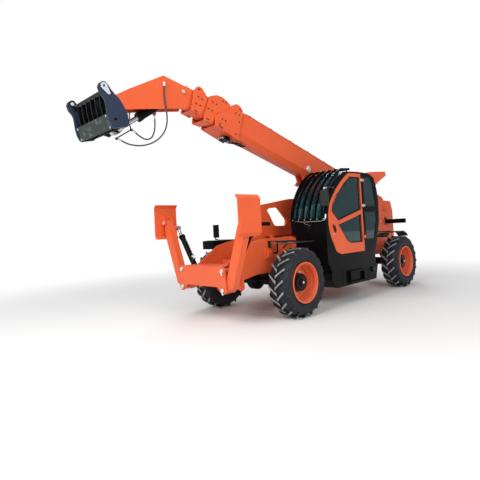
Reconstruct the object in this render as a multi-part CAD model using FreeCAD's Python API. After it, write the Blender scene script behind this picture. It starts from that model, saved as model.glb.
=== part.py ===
import FreeCAD, Part
import os
from math import radians, degrees, sin, cos, tan, hypot, atan2

# Telescopic handler with four steered wheels, stabilisers and a four-stage boom.
# Millimetres. X points forward, Y to the machine's left, Z up, with the ground at 0.
# The model is drawn from the middle of the wheelbase and moved at the end, so that
# the origin lies under the middle of the whole machine.

# Running gear
WHEELBASE = 3690
TYRE_R = 565
TYRE_WIDTH = 380
TRACK_HALF = 945
RIM_R = 334
RIM_WIDTH = 330
LUG_HEIGHT = 30
LUG_COUNT = 38
LUG_THICK = 40
LUG_LEAN = 40
KINGPIN_Y = 720
AXLE_TUBE_R = 82
AXLE_BULB_R = 175
HUB_R = 120
HUB_FACE = 160
DRUM_R = 143
KINGPIN_BOSS = 120
RUN_FIT = 0.5
STEER_LIMIT = 35

# Frame
FRAME_HALF = 360
FRAME_PLATE = 25
FRAME_BOTTOM = 470
FRAME_ARCH = 700
TAIL_X = -2900
TOWER_TOP = 2000
BEAM_FRONT = 3100
BEAM_REAR = 2700
BEAM_BOTTOM = 620
BEAM_TOP = 925
BEAM_HALF = 420
CHEEK_HALF = 560
CHEEK_PLATE = 25

# Boom: pivot, angle at rest, and one row for each section
PIVOT_X = -2500
PIVOT_Z = 1800
PIVOT_PIN_R = 45
BOOM_REST = 16.5
BOOM_DOWN = -20
BOOM_UP = 50
WALL = 8
# name, half width, top, bottom, rear end, front end, lower corner width, height
SECTIONS = [
    ("boom_main", 170, 326, -143, -300, 5000, 70, 88),
    ("boom_section_2", 146, 302, -119, 700, 5584, 60, 70),
    ("boom_section_3", 122, 278, -95, 820, 5864, 50, 55),
    ("boom_section_4", 98, 254, -71, 940, 6120, 40, 45),
]
STAGE_TRAVEL = 3300
PAD_FIT = 1
HEAD_PLATE = 20
INNER_HEAD_PLATE = 14
# side view of each section's head plates, X and Z on the level boom
MAIN_HEAD = [(5220, 313), (5108, 406), (5022, 409), (4941, 351), (4924, 301), (4925, 244), (4942, -190),
             (5473, -154), (5501, 22), (5228, 243)]
HEAD_2 = [(5667, 285), (5531, 372), (5399, 392), (5277, 369), (5212, 343), (5188, 260), (5482, 47), (5484, 10),
          (5529, -137), (5696, -159), (5708, -59)]
HEAD_3 = [(5930, 328), (5879, 355), (5819, 350), (5773, 310), (5739, 301), (5719, 238), (5691, 234), (5727, 10),
          (5777, -94), (5962, -94), (5967, 219), (5961, 258)]

# Coupler (tool carrier) at the boom's tip
COUPLER_X = 4680
COUPLER_Z = 3240
COUPLER_TILT = 20
COUPLER_HALF = 490
COUPLER_PLATE = 30
COUPLER_PIN_R = 30
TIP_HALF = 100
NECK_PIN = (3365, 3670)
ROD_PIN = (-63, -353)
TOOL_PIN = (143, 180)
TOOL_PIN_R = 20
LOCK_PIN = (142, -245)
LOCK_PIN_R = 22
DUMP = 55
CROWD = -40

# Lift cylinder between the frame and the main boom
LIFT_BASE = (-2350, 1240)
LIFT_EYE = (229, 2306)
LIFT_BARREL_R = 75
LIFT_ROD_R = 48
LIFT_EYE_R = 60
LIFT_EAR = 66
LIFT_BARREL = 2120
LIFT_STEM = 430
TILT_BARREL = 900
TILT_STEM = 410

# Cab
CAB_Y0 = 270
CAB_Y1 = 1050
CAB_STEP_Y = FRAME_HALF + 6
CAB_STEP_Z = 1320
CAB_WALL = 40
CAB_FLOOR = 620
CAB_TOP = 2475
DOOR_HINGE_X = -205
DOOR_OPEN = 95
DOOR_HINGE_OUT = 26
DOOR_HINGE_Z = (1165, 1778, 2279)
DOOR_GAP = 7
GLASS = 6
MIRROR_REACH = 1230
MIRROR_X = 1200
HOOD_HINGE = (-500, 1455)
HOOD_OPEN = 60
HOOD_HINGE_X = (-700, 700)
HINGE_PIN_R = 7

# Stabilisers
STAB_X = 3000
STAB_ARM = 120
STAB_LEAN = 20
STAB_PIN = (506, 572)
STAB_CYL_PIN = (506, 863)
STAB_OFFSET = 80
STAB_HALF = 80
STAB_PIN_R = 28
STAB_SWING = 92
FOOT_PIN = (987, 1660)
FOOT_STOP = -5
FOOT_SWING = 40
CYL_X = 2805
CYL_EYE = (960, 1560)
RUN_GAP = 5


def vec(x, y, z):
    return FreeCAD.Vector(x, y, z)


def box(x0, x1, y0, y1, z0, z1):
    return Part.makeBox(x1 - x0, y1 - y0, z1 - z0, vec(x0, y0, z0))


def rod(start, end, radius):
    a = vec(*start)
    b = vec(*end)
    return Part.makeCylinder(radius, (b - a).Length, a, b - a)


def pipe(start, end, radius, bore):
    return rod(start, end, radius).cut(rod(start, end, bore))


def across(x, z, radius, y0, y1):
    return rod((x, y0, z), (x, y1, z), radius)


def along(y, z, radius, x0, x1):
    return rod((x0, y, z), (x1, y, z), radius)


def outline(points):
    return Part.makePolygon([vec(*p) for p in points] + [vec(*points[0])])


def plate_xz(points, y0, y1):
    """A plate whose outline lies in X and Z."""
    face = Part.Face(outline([(x, y0, z) for x, z in points]))
    return face.extrude(vec(0, y1 - y0, 0))


def plate_yz(points, x0, x1):
    """A plate whose outline lies in Y and Z."""
    face = Part.Face(outline([(x0, y, z) for y, z in points]))
    return face.extrude(vec(x1 - x0, 0, 0))


def plate_xy(points, z0, z1):
    """A plate whose outline lies in X and Y."""
    face = Part.Face(outline([(x, y, z0) for x, y in points]))
    return face.extrude(vec(0, 0, z1 - z0))


def join(shapes):
    first, rest = shapes[0], shapes[1:]
    return first.fuse(rest).removeSplitter() if rest else first


def mirrored(shape):
    return shape.mirror(vec(0, 0, 0), vec(0, 1, 0))


def both(shape):
    return [shape, mirrored(shape)]


def turned(shape, centre, axis, angle):
    copy = shape.copy()
    copy.rotate(vec(*centre), vec(*axis), angle)
    return copy


# Wheels

def tyre():
    """Open-centre lug tyre about the Y axis at the origin."""
    carcass_r = TYRE_R - LUG_HEIGHT
    half = TYRE_WIDTH / 2
    bead = RIM_R - 8
    # radius and Y of the half section, from one bead over the crown to the other
    edge = [(bead, half - 42), (bead + 60, half - 8), (carcass_r - 95, half), (carcass_r - 30, half - 26),
            (carcass_r - 4, half - 80), (carcass_r, 0)]
    edge += [(r, -y) for r, y in reversed(edge[:-1])]
    carcass = Part.Face(outline([(0, y, r) for r, y in edge])).revolve(vec(0, 0, 0), vec(0, 1, 0), 360)
    root = carcass_r - 95
    crown = [(0, half - 2), (carcass_r - 40, half - 2), (TYRE_R, half - 60), (TYRE_R, 60 - half),
             (carcass_r - 40, 2 - half), (0, 2 - half)]
    ring = Part.Face(outline([(0, y, r) for r, y in crown])).revolve(vec(0, 0, 0), vec(0, 1, 0), 360)
    lugs = []
    for i in range(LUG_COUNT):
        side = 1 if i % 2 else -1
        # each bar runs back from the middle line to the shoulder, and its foot is the first to touch down
        sweep = (half - 6) * tan(radians(LUG_LEAN))
        mid = (sweep + LUG_THICK) / 2
        bar = plate_xy([(mid + 8, -12 * side), (mid - LUG_THICK - 8, -12 * side),
                        (mid - sweep - LUG_THICK, (half - 6) * side), (mid - sweep, (half - 6) * side)],
                       root, TYRE_R + 20)
        lugs.append(turned(bar, (0, 0, 0), (0, 1, 0), 360 / LUG_COUNT * i).common(ring))
    return carcass.fuse(lugs)


def rim():
    """Stepped steel rim with its planetary hub, outer side towards +Y."""
    half = RIM_WIDTH / 2
    tyre_bore = RIM_R - 8.3
    disc_y = -35
    # radius and Y of the half section, from the inner lip round to the disc
    barrel = [(tyre_bore, -half + 12), (RIM_R, -half + 4), (RIM_R, -half - 8), (tyre_bore - 20, -half - 8),
              (tyre_bore - 34, -half + 30), (tyre_bore - 34, disc_y - 12), (HUB_R + 4, disc_y - 22),
              (HUB_R + 4, disc_y - 4), (tyre_bore - 60, disc_y + 14), (tyre_bore - 57, disc_y + 60),
              (tyre_bore - 46, disc_y + 64), (tyre_bore - 43, disc_y + 105), (tyre_bore - 33, disc_y + 109),
              (tyre_bore - 30, half - 20), (tyre_bore - 22, half - 16), (tyre_bore - 20, half + 15), (RIM_R, half + 15),
              (RIM_R, half + 3), (tyre_bore, half - 8)]
    face = Part.Face(outline([(0, y, r) for r, y in barrel]))
    ring = face.revolve(vec(0, 0, 0), vec(0, 1, 0), 360)
    hub_y = KINGPIN_Y + HUB_FACE - TRACK_HALF
    hub = [(0, hub_y), (HUB_R + 10, hub_y), (HUB_R + 10, disc_y + 2), (DRUM_R, disc_y + 8), (DRUM_R, disc_y + 118),
           (DRUM_R - 12, disc_y + 130), (64, disc_y + 134), (58, disc_y + 160), (0, disc_y + 160)]
    core = Part.Face(outline([(0, y, r) for r, y in hub])).revolve(vec(0, 0, 0), vec(0, 1, 0), 360)
    return join([ring, core])


def knuckle():
    """Steering knuckle about the kingpin at the origin, wheel towards +Y."""
    web_y = 75
    arm_z = KINGPIN_BOSS + RUN_FIT
    web = box(-95, 95, web_y, web_y + 35, -150, 150)
    arms = []
    for side in (-1, 1):
        tip = Part.makeCylinder(62, 30, vec(0, 0, arm_z if side > 0 else -arm_z - 30))
        reach = box(-62, 62, 0, web_y + 5, arm_z, arm_z + 30)
        if side < 0:
            reach.translate(vec(0, 0, -2 * arm_z - 30))
        arms += [tip, reach]
    drum = across(0, 0, 105, web_y + 35, HUB_FACE - RUN_FIT)
    return join([web, drum] + arms)


def axle():
    """Drive axle across the machine through the origin."""
    tube_end = KINGPIN_Y
    tube = across(0, 0, AXLE_TUBE_R, -tube_end, tube_end)
    ball = [(0, -150), (110, -135), (AXLE_BULB_R, -62), (AXLE_BULB_R, 62), (110, 135), (0, 150)]
    bulb = Part.Face(outline([(0, y, r) for r, y in ball])).revolve(vec(0, 0, 0), vec(0, 1, 0), 360)
    bosses = both(Part.makeCylinder(58, 2 * KINGPIN_BOSS, vec(0, KINGPIN_Y, -KINGPIN_BOSS)))
    pads = both(box(-75, 75, 215, 330, AXLE_TUBE_R - 20, FRAME_ARCH - TYRE_R))
    steer = across(-150, 30, 38, -230, 230)
    clamp = both(box(-150, -40, 120, 160, 10, 50))
    return join([tube, bulb, steer] + bosses + pads + clamp)


# Frame

def side_plate():
    """Left side plate of the frame, with its tower for the boom pivot."""
    front_axle = WHEELBASE / 2
    arch = 330
    pts = [(BEAM_REAR, BEAM_BOTTOM), (BEAM_REAR, BEAM_TOP), (2870, BEAM_TOP), (2420, 1215), (2050, 1285), (1200, 1300),
           (900, 1180), (-1750, 1180), (-2080, 1320), (-2220, TOWER_TOP), (-2810, TOWER_TOP - 30),
           (TAIL_X, 1740), (TAIL_X, FRAME_ARCH - 80), (-front_axle - arch, FRAME_ARCH - 80),
           (-front_axle - arch + 60, FRAME_ARCH), (-front_axle + arch - 60, FRAME_ARCH),
           (-front_axle + arch + 60, FRAME_BOTTOM), (front_axle - arch - 60, FRAME_BOTTOM),
           (front_axle - arch + 60, FRAME_ARCH), (front_axle + arch, FRAME_ARCH)]
    return plate_xz(pts, FRAME_HALF - FRAME_PLATE, FRAME_HALF)


def chassis_frame():
    plates = both(side_plate())
    inner = FRAME_HALF - FRAME_PLATE
    front_axle = WHEELBASE / 2
    floor = box(-front_axle + 400, front_axle - 400, -inner, inner, FRAME_BOTTOM, FRAME_BOTTOM + 20)
    cross = [box(x, x + 25, -inner, inner, z0, z1)
             for x, z0, z1 in ((1300, FRAME_BOTTOM, 900), (-1250, FRAME_BOTTOM, 640),
                               (2300, FRAME_ARCH, 960), (TAIL_X + 20, 640, 1180))]
    decks = [box(front_axle - 330, front_axle + 330, -inner, inner, FRAME_ARCH, FRAME_ARCH + 20),
             box(-front_axle - 320, -front_axle + 200, -inner, inner, FRAME_ARCH, FRAME_ARCH + 20)]
    decks = [d.cut(Part.makeCylinder(AXLE_BULB_R + 20, 60, vec(x, 0, FRAME_ARCH - 20)))
             for d, x in zip(decks, (front_axle, -front_axle))]
    pin = across(PIVOT_X, PIVOT_Z, PIVOT_PIN_R, -FRAME_HALF - 30, FRAME_HALF + 30)
    pin_collars = both(across(PIVOT_X, PIVOT_Z, 95, FRAME_HALF, FRAME_HALF + 18))
    lift_pin = across(*LIFT_BASE, 40, -inner, inner)
    return join(plates + [floor, pin, lift_pin] + cross + decks + pin_collars)


def beam():
    """Front cross beam that carries the stabilisers."""
    skin = 15
    outer = box(BEAM_REAR, BEAM_FRONT, -BEAM_HALF, BEAM_HALF, BEAM_BOTTOM, BEAM_TOP)
    hollow = box(BEAM_REAR + skin, BEAM_FRONT - skin, -BEAM_HALF, BEAM_HALF,
                 BEAM_BOTTOM + skin, BEAM_TOP - skin)
    web = box(BEAM_REAR + skin, BEAM_FRONT - skin, -FRAME_HALF, -FRAME_HALF + skin,
              BEAM_BOTTOM + skin, BEAM_TOP - skin)
    cheek_shape = [(BEAM_HALF - 40, BEAM_TOP), (CHEEK_HALF - 25, BEAM_TOP), (CHEEK_HALF, BEAM_TOP - 40),
                   (CHEEK_HALF, BEAM_TOP - 200), (CHEEK_HALF + 20, BEAM_BOTTOM - 60),
                   (CHEEK_HALF - 20, BEAM_BOTTOM - 105), (CHEEK_HALF - 80, BEAM_BOTTOM - 105),
                   (BEAM_HALF - 40, BEAM_BOTTOM)]
    cheeks = both(plate_yz(cheek_shape, BEAM_FRONT - CHEEK_PLATE, BEAM_FRONT))
    cheeks += both(plate_yz(cheek_shape, BEAM_REAR, BEAM_REAR + CHEEK_PLATE))
    pins = []
    for y, z in (STAB_PIN, STAB_CYL_PIN):
        pins += both(along(y, z, STAB_PIN_R, BEAM_REAR - 12, BEAM_FRONT + 12))
    return join([outer.cut(hollow), web] + both(web)[1:] + cheeks + pins)


def counterweight():
    """Cast block across the tail, behind the rear wheels."""
    pts = [(TAIL_X, -FRAME_HALF), (-2585, -FRAME_HALF), (-2585, -680), (-2640, -740), (-2840, -740), (TAIL_X, -680)]
    side = plate_xy(pts, 560, 960)
    edge = box(TAIL_X - 5, TAIL_X + 60, -900, -FRAME_HALF, 560, 620)
    side = side.cut(edge)
    return side


def mudguards():
    """Four wheel covers on their brackets: flat in front, bowed over the tyre behind."""
    front = WHEELBASE / 2
    # side view of each cover's under side, X from the axle, and its inner and outer edge
    covers = [(front, [(240, 1205), (-500, 1205)], 690, 960),
              (-front, [(500, 1130), (400, 1215), (-300, 1225), (-430, 1180), (-520, 1110)], 720, 960)]
    parts = []
    for mid, under, y0, y1 in covers:
        pts = [(mid + x, z) for x, z in under] + [(mid + x, z + 10) for x, z in reversed(under)]
        top = plate_xz(pts, y0, y1)
        stay = box(mid - 30, mid + 30, FRAME_HALF, y0 + 60, 1232, 1252)
        block = box(mid - 30, mid + 30, y0, y0 + 60, 1210, 1240)
        leg = box(mid - 30, mid + 30, FRAME_HALF, FRAME_HALF + 20, 1130, 1252)
        parts += both(join([top, stay, block, leg]))
    return Part.makeCompound(parts)


# Boom, drawn level with its pivot at the origin and then placed

def boom_place(shape):
    copy = shape.copy()
    copy.rotate(vec(0, 0, 0), vec(0, 1, 0), -BOOM_REST)
    copy.translate(vec(PIVOT_X, 0, PIVOT_Z))
    return copy


def section_outline(half, top, bottom, cut_w, cut_h, x):
    pts = [(-half, top), (half, top), (half, bottom + cut_h), (half - cut_w, bottom),
           (-half + cut_w, bottom), (-half, bottom + cut_h)]
    return Part.Face(outline([(x, y, z) for y, z in pts]))


def section_tube(row):
    name, half, top, bottom, rear, front, cut_w, cut_h = row
    outer = section_outline(half, top, bottom, cut_w, cut_h, rear).extrude(vec(front - rear, 0, 0))
    inner = section_outline(half - WALL, top - WALL, bottom + WALL, cut_w - WALL / 2, cut_h, rear)
    return outer.cut(inner.extrude(vec(front - rear, 0, 0)))


def tail_pads(inner, outer):
    """Runner pads round an inner section's tail, which slide in the section outside it."""
    side = outer[1] - WALL - inner[1] - PAD_FIT
    over = outer[2] - WALL - inner[2] - PAD_FIT
    under = inner[3] - outer[3] - WALL - PAD_FIT
    x0, x1 = inner[4] + 20, inner[4] + 200
    flat = inner[1] - inner[6] - 8
    pads = both(box(x0, x1, inner[1], inner[1] + side, 60, 200))
    pads += both(box(x0, x1, inner[1] - 60, inner[1] - 10, inner[2], inner[2] + over))
    pads += both(box(x0, x1, flat - 40, flat, inner[3] - under, inner[3]))
    return pads


def mouth_pads(outer, inner, front):
    """Runner pads inside a section's mouth, which guide the section within."""
    side = outer[1] - WALL - inner[1] - PAD_FIT
    over = outer[2] - WALL - inner[2] - PAD_FIT
    under = inner[3] - outer[3] - WALL - PAD_FIT
    x0, x1 = front - 160, front - 10
    flat = inner[1] - inner[6] - 8
    pads = both(box(x0, x1, inner[1] + PAD_FIT, inner[1] + PAD_FIT + side, 60, 200))
    pads += both(box(x0, x1, inner[1] - 60, inner[1] - 10, inner[2] + PAD_FIT, inner[2] + PAD_FIT + over))
    pads += both(box(x0, x1, flat - 40, flat, outer[3] + WALL, outer[3] + WALL + under))
    return pads


def head_plates(points, half, thick):
    side = plate_xz(points, half, half + thick)
    return both(side)


def boom_main():
    row = SECTIONS[0]
    name, half, top, bottom, rear, front, cut_w, cut_h = row
    tube = section_tube(row)
    head = head_plates(MAIN_HEAD, half, HEAD_PLATE)
    core = section_outline(half - WALL, top - WALL, bottom + WALL, cut_w, cut_h, 4860).extrude(vec(60, 0, 0))
    collar = section_outline(half + 10, top + 8, bottom - 10, cut_w + 4, cut_h, 4868).extrude(vec(26, 0, 0)).cut(core)
    saddle = box(5030, 5100, -half, half, 384, 402)
    floor = plate_xz([(4960, -185), (5465, -152), (5465, -140), (4960, -173)], -half, half)
    ears = both(plate_xz([(2560, bottom + 2), (3010, bottom + 2), (2880, -300), (2810, -350), (2720, -360),
                          (2650, -320)], LIFT_EAR, LIFT_EAR + 24))
    eye_x, eye_z = boom_local(*LIFT_EYE)
    studs = both(across(eye_x, eye_z, 52, LIFT_EAR + 24, LIFT_EAR + 44))
    boss_len = half + 60
    boss = pipe((0, -boss_len, 0), (0, boss_len, 0), 110, PIVOT_PIN_R + 0.5)
    tail = section_outline(half, top, bottom, cut_w, cut_h, rear - 1).extrude(vec(9, 0, 0))
    strip = box(-200, 4840, half - 30, half + 4, top, top + 14)
    body = join([tube, collar, saddle, floor, boss, tail, strip] + head + ears + studs
                + mouth_pads(row, SECTIONS[1], front))
    bore = across(0, 0, PIVOT_PIN_R + 0.5, -boss_len - 1, boss_len + 1)
    corner = plate_xz([(-400, 400), (-400, 190), (-220, 330), (-220, 400)], -400, 400)
    return boom_place(body.cut([bore, corner]))


def boom_local(x, z):
    """Place of a point of the side view in the boom's own level frame."""
    dx, dz = x - PIVOT_X, z - PIVOT_Z
    c, s = cos(radians(BOOM_REST)), sin(radians(BOOM_REST))
    return dx * c + dz * s, -dx * s + dz * c


def boom_section_2():
    row = SECTIONS[1]
    half, front = row[1], row[5]
    head = head_plates(HEAD_2, half, INNER_HEAD_PLATE)
    ties = [box(5380, 5450, -half, half, 370, 386),
            plate_xz([(5545, -151), (5690, -157), (5690, -143), (5545, -137)], -half, half)]
    runners = tail_pads(row, SECTIONS[0]) + mouth_pads(row, SECTIONS[2], front)
    return boom_place(join([section_tube(row)] + head + ties + runners))


def boom_section_3():
    row = SECTIONS[2]
    half, front = row[1], row[5]
    head = head_plates(HEAD_3, half, INNER_HEAD_PLATE)
    ties = [box(5826, 5880, -half, half, 332, 346), box(front - 1, 5955, -half, half, -94, -82)]
    runners = tail_pads(row, SECTIONS[1]) + mouth_pads(row, SECTIONS[3], front)
    return boom_place(join([section_tube(row)] + head + ties + runners))


def boom_section_4():
    """Inner section with the gooseneck plates that carry the coupler."""
    row = SECTIONS[3]
    tube = boom_place(join([section_tube(row)] + tail_pads(row, SECTIONS[2])))
    # side view of a neck plate in machine X and Z
    plate = [(3190, 3735), (3712, 3850), (4300, 3535), (COUPLER_X + 10, COUPLER_Z + 72),
             (COUPLER_X + 62, COUPLER_Z + 36), (COUPLER_X + 72, COUPLER_Z - 10),
             (COUPLER_X + 20, COUPLER_Z - 66), (4383, 3232), (3305, 3420)]
    sides = both(plate_xz(plate, TIP_HALF - 4, TIP_HALF + 16))
    top = [(3260, 3750), (3712, 3850), (4300, 3535), (4600, 3355)]
    deck = plate_xz(top + [(4593, 3343), (4294, 3521), (3710, 3834), (3264, 3736)], -TIP_HALF + 4, TIP_HALF - 4)
    pin = across(*NECK_PIN, 30, -TIP_HALF - 30, TIP_HALF + 30)
    tip_boss = across(COUPLER_X, COUPLER_Z, 58, -TIP_HALF + 4, TIP_HALF - 4)
    glands = []
    for (x, y, z), side in ((HOSE_TOP[0], 1), (HOSE_LOOP[0], -1)):
        inner, outer = sorted((side * (TIP_HALF + 12), y + side * 18))
        glands.append(box(x - 18, x + 18, inner, outer, z, z + 50))
    # bent bar on the right that carries the far ends of both hoses
    x, y, z = HOSE_LOOP[-1]
    stop = HOSE_TOP[-1]
    route = [(4170, y, 3300), (4170, y, z + 60), (x + 24, y, z), (stop[0] + 30, y, stop[2])]
    bar = [rod(a, b, 9) for a, b in zip(route, route[1:])]
    bar += [Part.makeCylinder(9, 18, vec(px, y - 9, pz), vec(0, 1, 0)) for px, _, pz in route[1:-1]]
    root = box(4150, 4190, y - 10, -TIP_HALF - 12, 3270, 3310)
    clamps = [box(x, x + 34, y - 16, y + 16, z - 16, z + 16),
              box(stop[0], stop[0] + 34, y - 16, y + 16, stop[2] - 16, stop[2] + 16)]
    body = join([tube, deck, pin, tip_boss, root] + sides + glands + bar + clamps)
    return body.cut(across(COUPLER_X, COUPLER_Z, COUPLER_PIN_R + 0.5, -200, 200))


# Hoses: points of each route, from its gland to its clamp
HOSE_R = 11
HOSE_TOP = [(3716, 134, 3740), (3728, 134, 3640), (3728, 134, 3500), (3706, 134, 3340), (3690, 128, 3180),
            (3700, 90, 3040), (3765, 30, 2915), (3880, -40, 2830), (4030, -100, 2790), (4190, -134, 2800),
            (4290, -140, 2835), (4370, -140, 2870)]
HOSE_LOOP = [(3742, -140, 3300), (3734, -140, 3215), (3742, -140, 3100), (3770, -140, 3000), (3825, -140, 2930),
             (3905, -140, 2905), (3985, -140, 2930), (4060, -140, 2975), (4130, -140, 3025)]


def hose(points, radius):
    """A hose as straight runs joined by tangent arcs, swept from end to end."""
    p = [vec(*q) for q in points]
    edges = []
    start = p[0]
    for a, b, c in zip(p, p[1:], p[2:]):
        u, w = (a - b).normalize(), (c - b).normalize()
        turn = u.getAngle(w * -1)
        if turn < 0.02:
            continue
        back = 0.45 * min((a - b).Length, (c - b).Length)
        bend = back / tan(turn / 2)
        first, last = b + u * back, b + w * back
        centre_way = (u + w).normalize()
        middle = b + centre_way * (hypot(bend, back) - bend)
        print("hose bend radius", round(bend), "turn", round(degrees(turn)))
        edges += [Part.LineSegment(start, first).toShape(), Part.Arc(first, middle, last).toShape()]
        start = last
    edges.append(Part.LineSegment(start, p[-1]).toShape())
    path = Part.Wire(edges)
    section = Part.Wire(Part.makeCircle(radius, p[0], p[1] - p[0]))
    tube = path.makePipeShell([section], True, True)
    print("hose length", round(path.Length), "volume ratio", round(tube.Volume / (3.14159265 * radius ** 2 * path.Length), 4))
    return tube


# Coupler, drawn upright about its pivot and then tilted

def coupler_place(shape):
    copy = shape.copy()
    copy.rotate(vec(0, 0, 0), vec(0, 1, 0), COUPLER_TILT)
    copy.translate(vec(COUPLER_X, 0, COUPLER_Z))
    return copy


def coupler():
    cheek = [(131, 237), (189, 221), (224, 181), (225, 103), (199, 42), (193, -5), (207, -71), (226, -148),
             (236, -249), (227, -321), (205, -349), (23, -373), (-21, -352), (-33, -307), (-51, -215), (-34, -105),
             (-7, -5), (33, 60), (61, 122), (76, 181), (97, 224)]
    side = plate_xz(cheek, COUPLER_HALF - COUPLER_PLATE, COUPLER_HALF)
    eye = across(*TOOL_PIN, 48, COUPLER_HALF - COUPLER_PLATE - 12, COUPLER_HALF)
    side = side.fuse(eye)
    inner = COUPLER_HALF - COUPLER_PLATE
    tube_top = across(110, 120, 40, -inner, inner)
    tube_low = box(0, 60, -inner, inner, -360, -300)
    face = box(200, 215, -inner, inner, -345, -150)
    web = plate_xz([(20, -330), (200, -345), (200, -150), (60, -120), (30, 0), (10, 0), (-10, -160)], -8, 8)
    ribs = []
    for i in range(6):
        y = -inner + inner * 2 / 7 * (i + 1)
        rib = plate_xz([(95, -60), (95, 60), (118, 130), (150, 118), (184, 0), (206, -150), (200, -345),
                        (55, -345), (55, -120)], y - 8, y + 8)
        ribs.append(rib)
    ear = plate_xz([(-55, 20), (-30, 55), (60, 120), (125, 145), (125, 60), (75, -100), (60, -345), (-40, -405),
                    (-105, -380), (-115, -330)],
                   TIP_HALF + 24, TIP_HALF + 46)
    ears = both(ear)
    pin = across(0, 0, COUPLER_PIN_R, -TIP_HALF - 56, TIP_HALF + 56)
    studs = both(across(*ROD_PIN, 40, TIP_HALF + 46, TIP_HALF + 60))
    bridge = box(40, 60, -TIP_HALF - 24, TIP_HALF + 24, -345, -110)
    body = join([tube_top, tube_low, face, pin, bridge] + ribs + ears + studs + both(side))
    holes = [across(*TOOL_PIN, TOOL_PIN_R, -COUPLER_HALF - 20, COUPLER_HALF + 20),
             across(*LOCK_PIN, LOCK_PIN_R, -COUPLER_HALF - 20, COUPLER_HALF + 20)]
    # the rod's eye drifts towards the low tube while the coupler dumps
    holes.append(box(-1, 28, -46, 46, -361, -299))
    return coupler_place(body.cut(holes))


def tilt_eye():
    """Machine X and Z of the tilt rod's pin at rest."""
    a = radians(COUPLER_TILT)
    x, z = ROD_PIN
    return COUPLER_X + x * cos(a) + z * sin(a), COUPLER_Z - x * sin(a) + z * cos(a)


# Cylinders in a side view plane

def cylinder_xz(base, eye, barrel_r, rod_r, barrel_len, stem_start, eye_half, base_bore, pin_half, eye_bore, eye_r):
    """Barrel and rod between two pins that run across the machine; the rod keeps its own pin."""
    dx, dz = eye[0] - base[0], eye[1] - base[1]
    length = hypot(dx, dz)
    angle = degrees(atan2(dz, dx))
    barrel = along(0, 0, barrel_r, eye_r, barrel_len)
    foot = across(0, 0, eye_r, -eye_half, eye_half)
    gland = along(0, 0, barrel_r + 8, barrel_len - 60, barrel_len)
    neck = box(0, eye_r + 30, -eye_half, eye_half, -eye_r * 0.8, eye_r * 0.8)
    shell = join([barrel, foot, gland, neck])
    bore = along(0, 0, rod_r + 0.5, base_bore + 60, barrel_len + 1)
    shell = shell.cut([across(0, 0, base_bore, -eye_half - 1, eye_half + 1), bore])
    stem = along(0, 0, rod_r, stem_start, length - eye_r * 0.6)
    head = across(length, 0, eye_r, -eye_half, eye_half)
    pin = across(length, 0, eye_bore, -pin_half, pin_half)
    piston = join([stem, head, pin])
    result = []
    for shape in (shell, piston):
        shape = turned(shape, (0, 0, 0), (0, 1, 0), -angle)
        shape.translate(vec(base[0], 0, base[1]))
        result.append(shape)
    return result


def lift_cylinder():
    return cylinder_xz(LIFT_BASE, LIFT_EYE, LIFT_BARREL_R, LIFT_ROD_R, LIFT_BARREL, LIFT_STEM, 54, 40.5, LIFT_EAR - 1,
                       38, LIFT_EYE_R)


def tilt_cylinder():
    return cylinder_xz(NECK_PIN, tilt_eye(), 62, 36, TILT_BARREL, TILT_STEM, 38, 30.5, TIP_HALF + 23, 26, 55)


# Stabilisers, left side; the right side is mirrored

def stab_local(u, v):
    """Y and Z of a point at u along the arm and v outward from the lower pin."""
    a = radians(STAB_LEAN)
    return STAB_PIN[0] + u * sin(a) + v * cos(a), STAB_PIN[1] + u * cos(a) - v * sin(a)


def stab_arm():
    a = radians(STAB_LEAN)
    dy, dz = FOOT_PIN[0] - STAB_PIN[0], FOOT_PIN[1] - STAB_PIN[1]
    foot_u = dy * sin(a) + dz * cos(a)
    foot_v = dy * cos(a) - dz * sin(a)
    lo = STAB_OFFSET - STAB_HALF
    hi = STAB_OFFSET + STAB_HALF
    pts = [(-45, -30), (-20, -50), (40, -45), (170, lo), (foot_u - 140, lo), (foot_u - 20, foot_v - 50),
           (foot_u + 40, foot_v - 35), (foot_u + 52, foot_v + 10), (foot_u + 20, foot_v + 50),
           (foot_u - 60, foot_v + 52), (foot_u - 180, hi), (110, hi), (-20, 40), (-45, 20)]
    yz = [stab_local(u, v) for u, v in pts]
    x0, x1 = STAB_X - STAB_ARM / 2, STAB_X + STAB_ARM / 2
    arm = plate_yz(yz, x0, x1)
    # the arm fills the cheeks' width at its lower end by two spacers
    spacer = along(*STAB_PIN, 55, CYL_X + 60, x0)
    lug = along(*CYL_EYE, 48, CYL_X + 30 + RUN_GAP + 12, x0)
    foot_pin = along(*FOOT_PIN, 24, x0 - 36, x1 + 36)
    bore = along(*STAB_PIN, STAB_PIN_R + 0.5, CYL_X - 100, x1 + 1)
    return join([arm, spacer, lug, foot_pin]).cut(bore)


def stab_foot():
    y, z = FOOT_PIN
    half_w = 230
    sole_y = y + 85
    sole = plate_yz([(sole_y, z - 230), (sole_y - 45, z - 285), (sole_y - 63, z - 275), (sole_y - 20, z - 222),
                     (sole_y - 20, z + 262), (sole_y - 63, z + 315), (sole_y - 45, z + 325), (sole_y, z + 270)],
                    STAB_X - half_w, STAB_X + half_w)
    ears = []
    for x0 in (STAB_X + STAB_ARM / 2 + 6, STAB_X - STAB_ARM / 2 - 26):
        ear = plate_yz([(sole_y - 20, z - 40), (y + 15, z - 46), (y - 20, z - 45), (y - 48, z - 8), (y - 40, z + 34),
                        (sole_y - 20, z + 150)], x0, x0 + 20)
        ears.append(ear)
    body = join([sole] + ears)
    return body.cut(along(y, z, 24.5, STAB_X - 150, STAB_X + 150))


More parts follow.
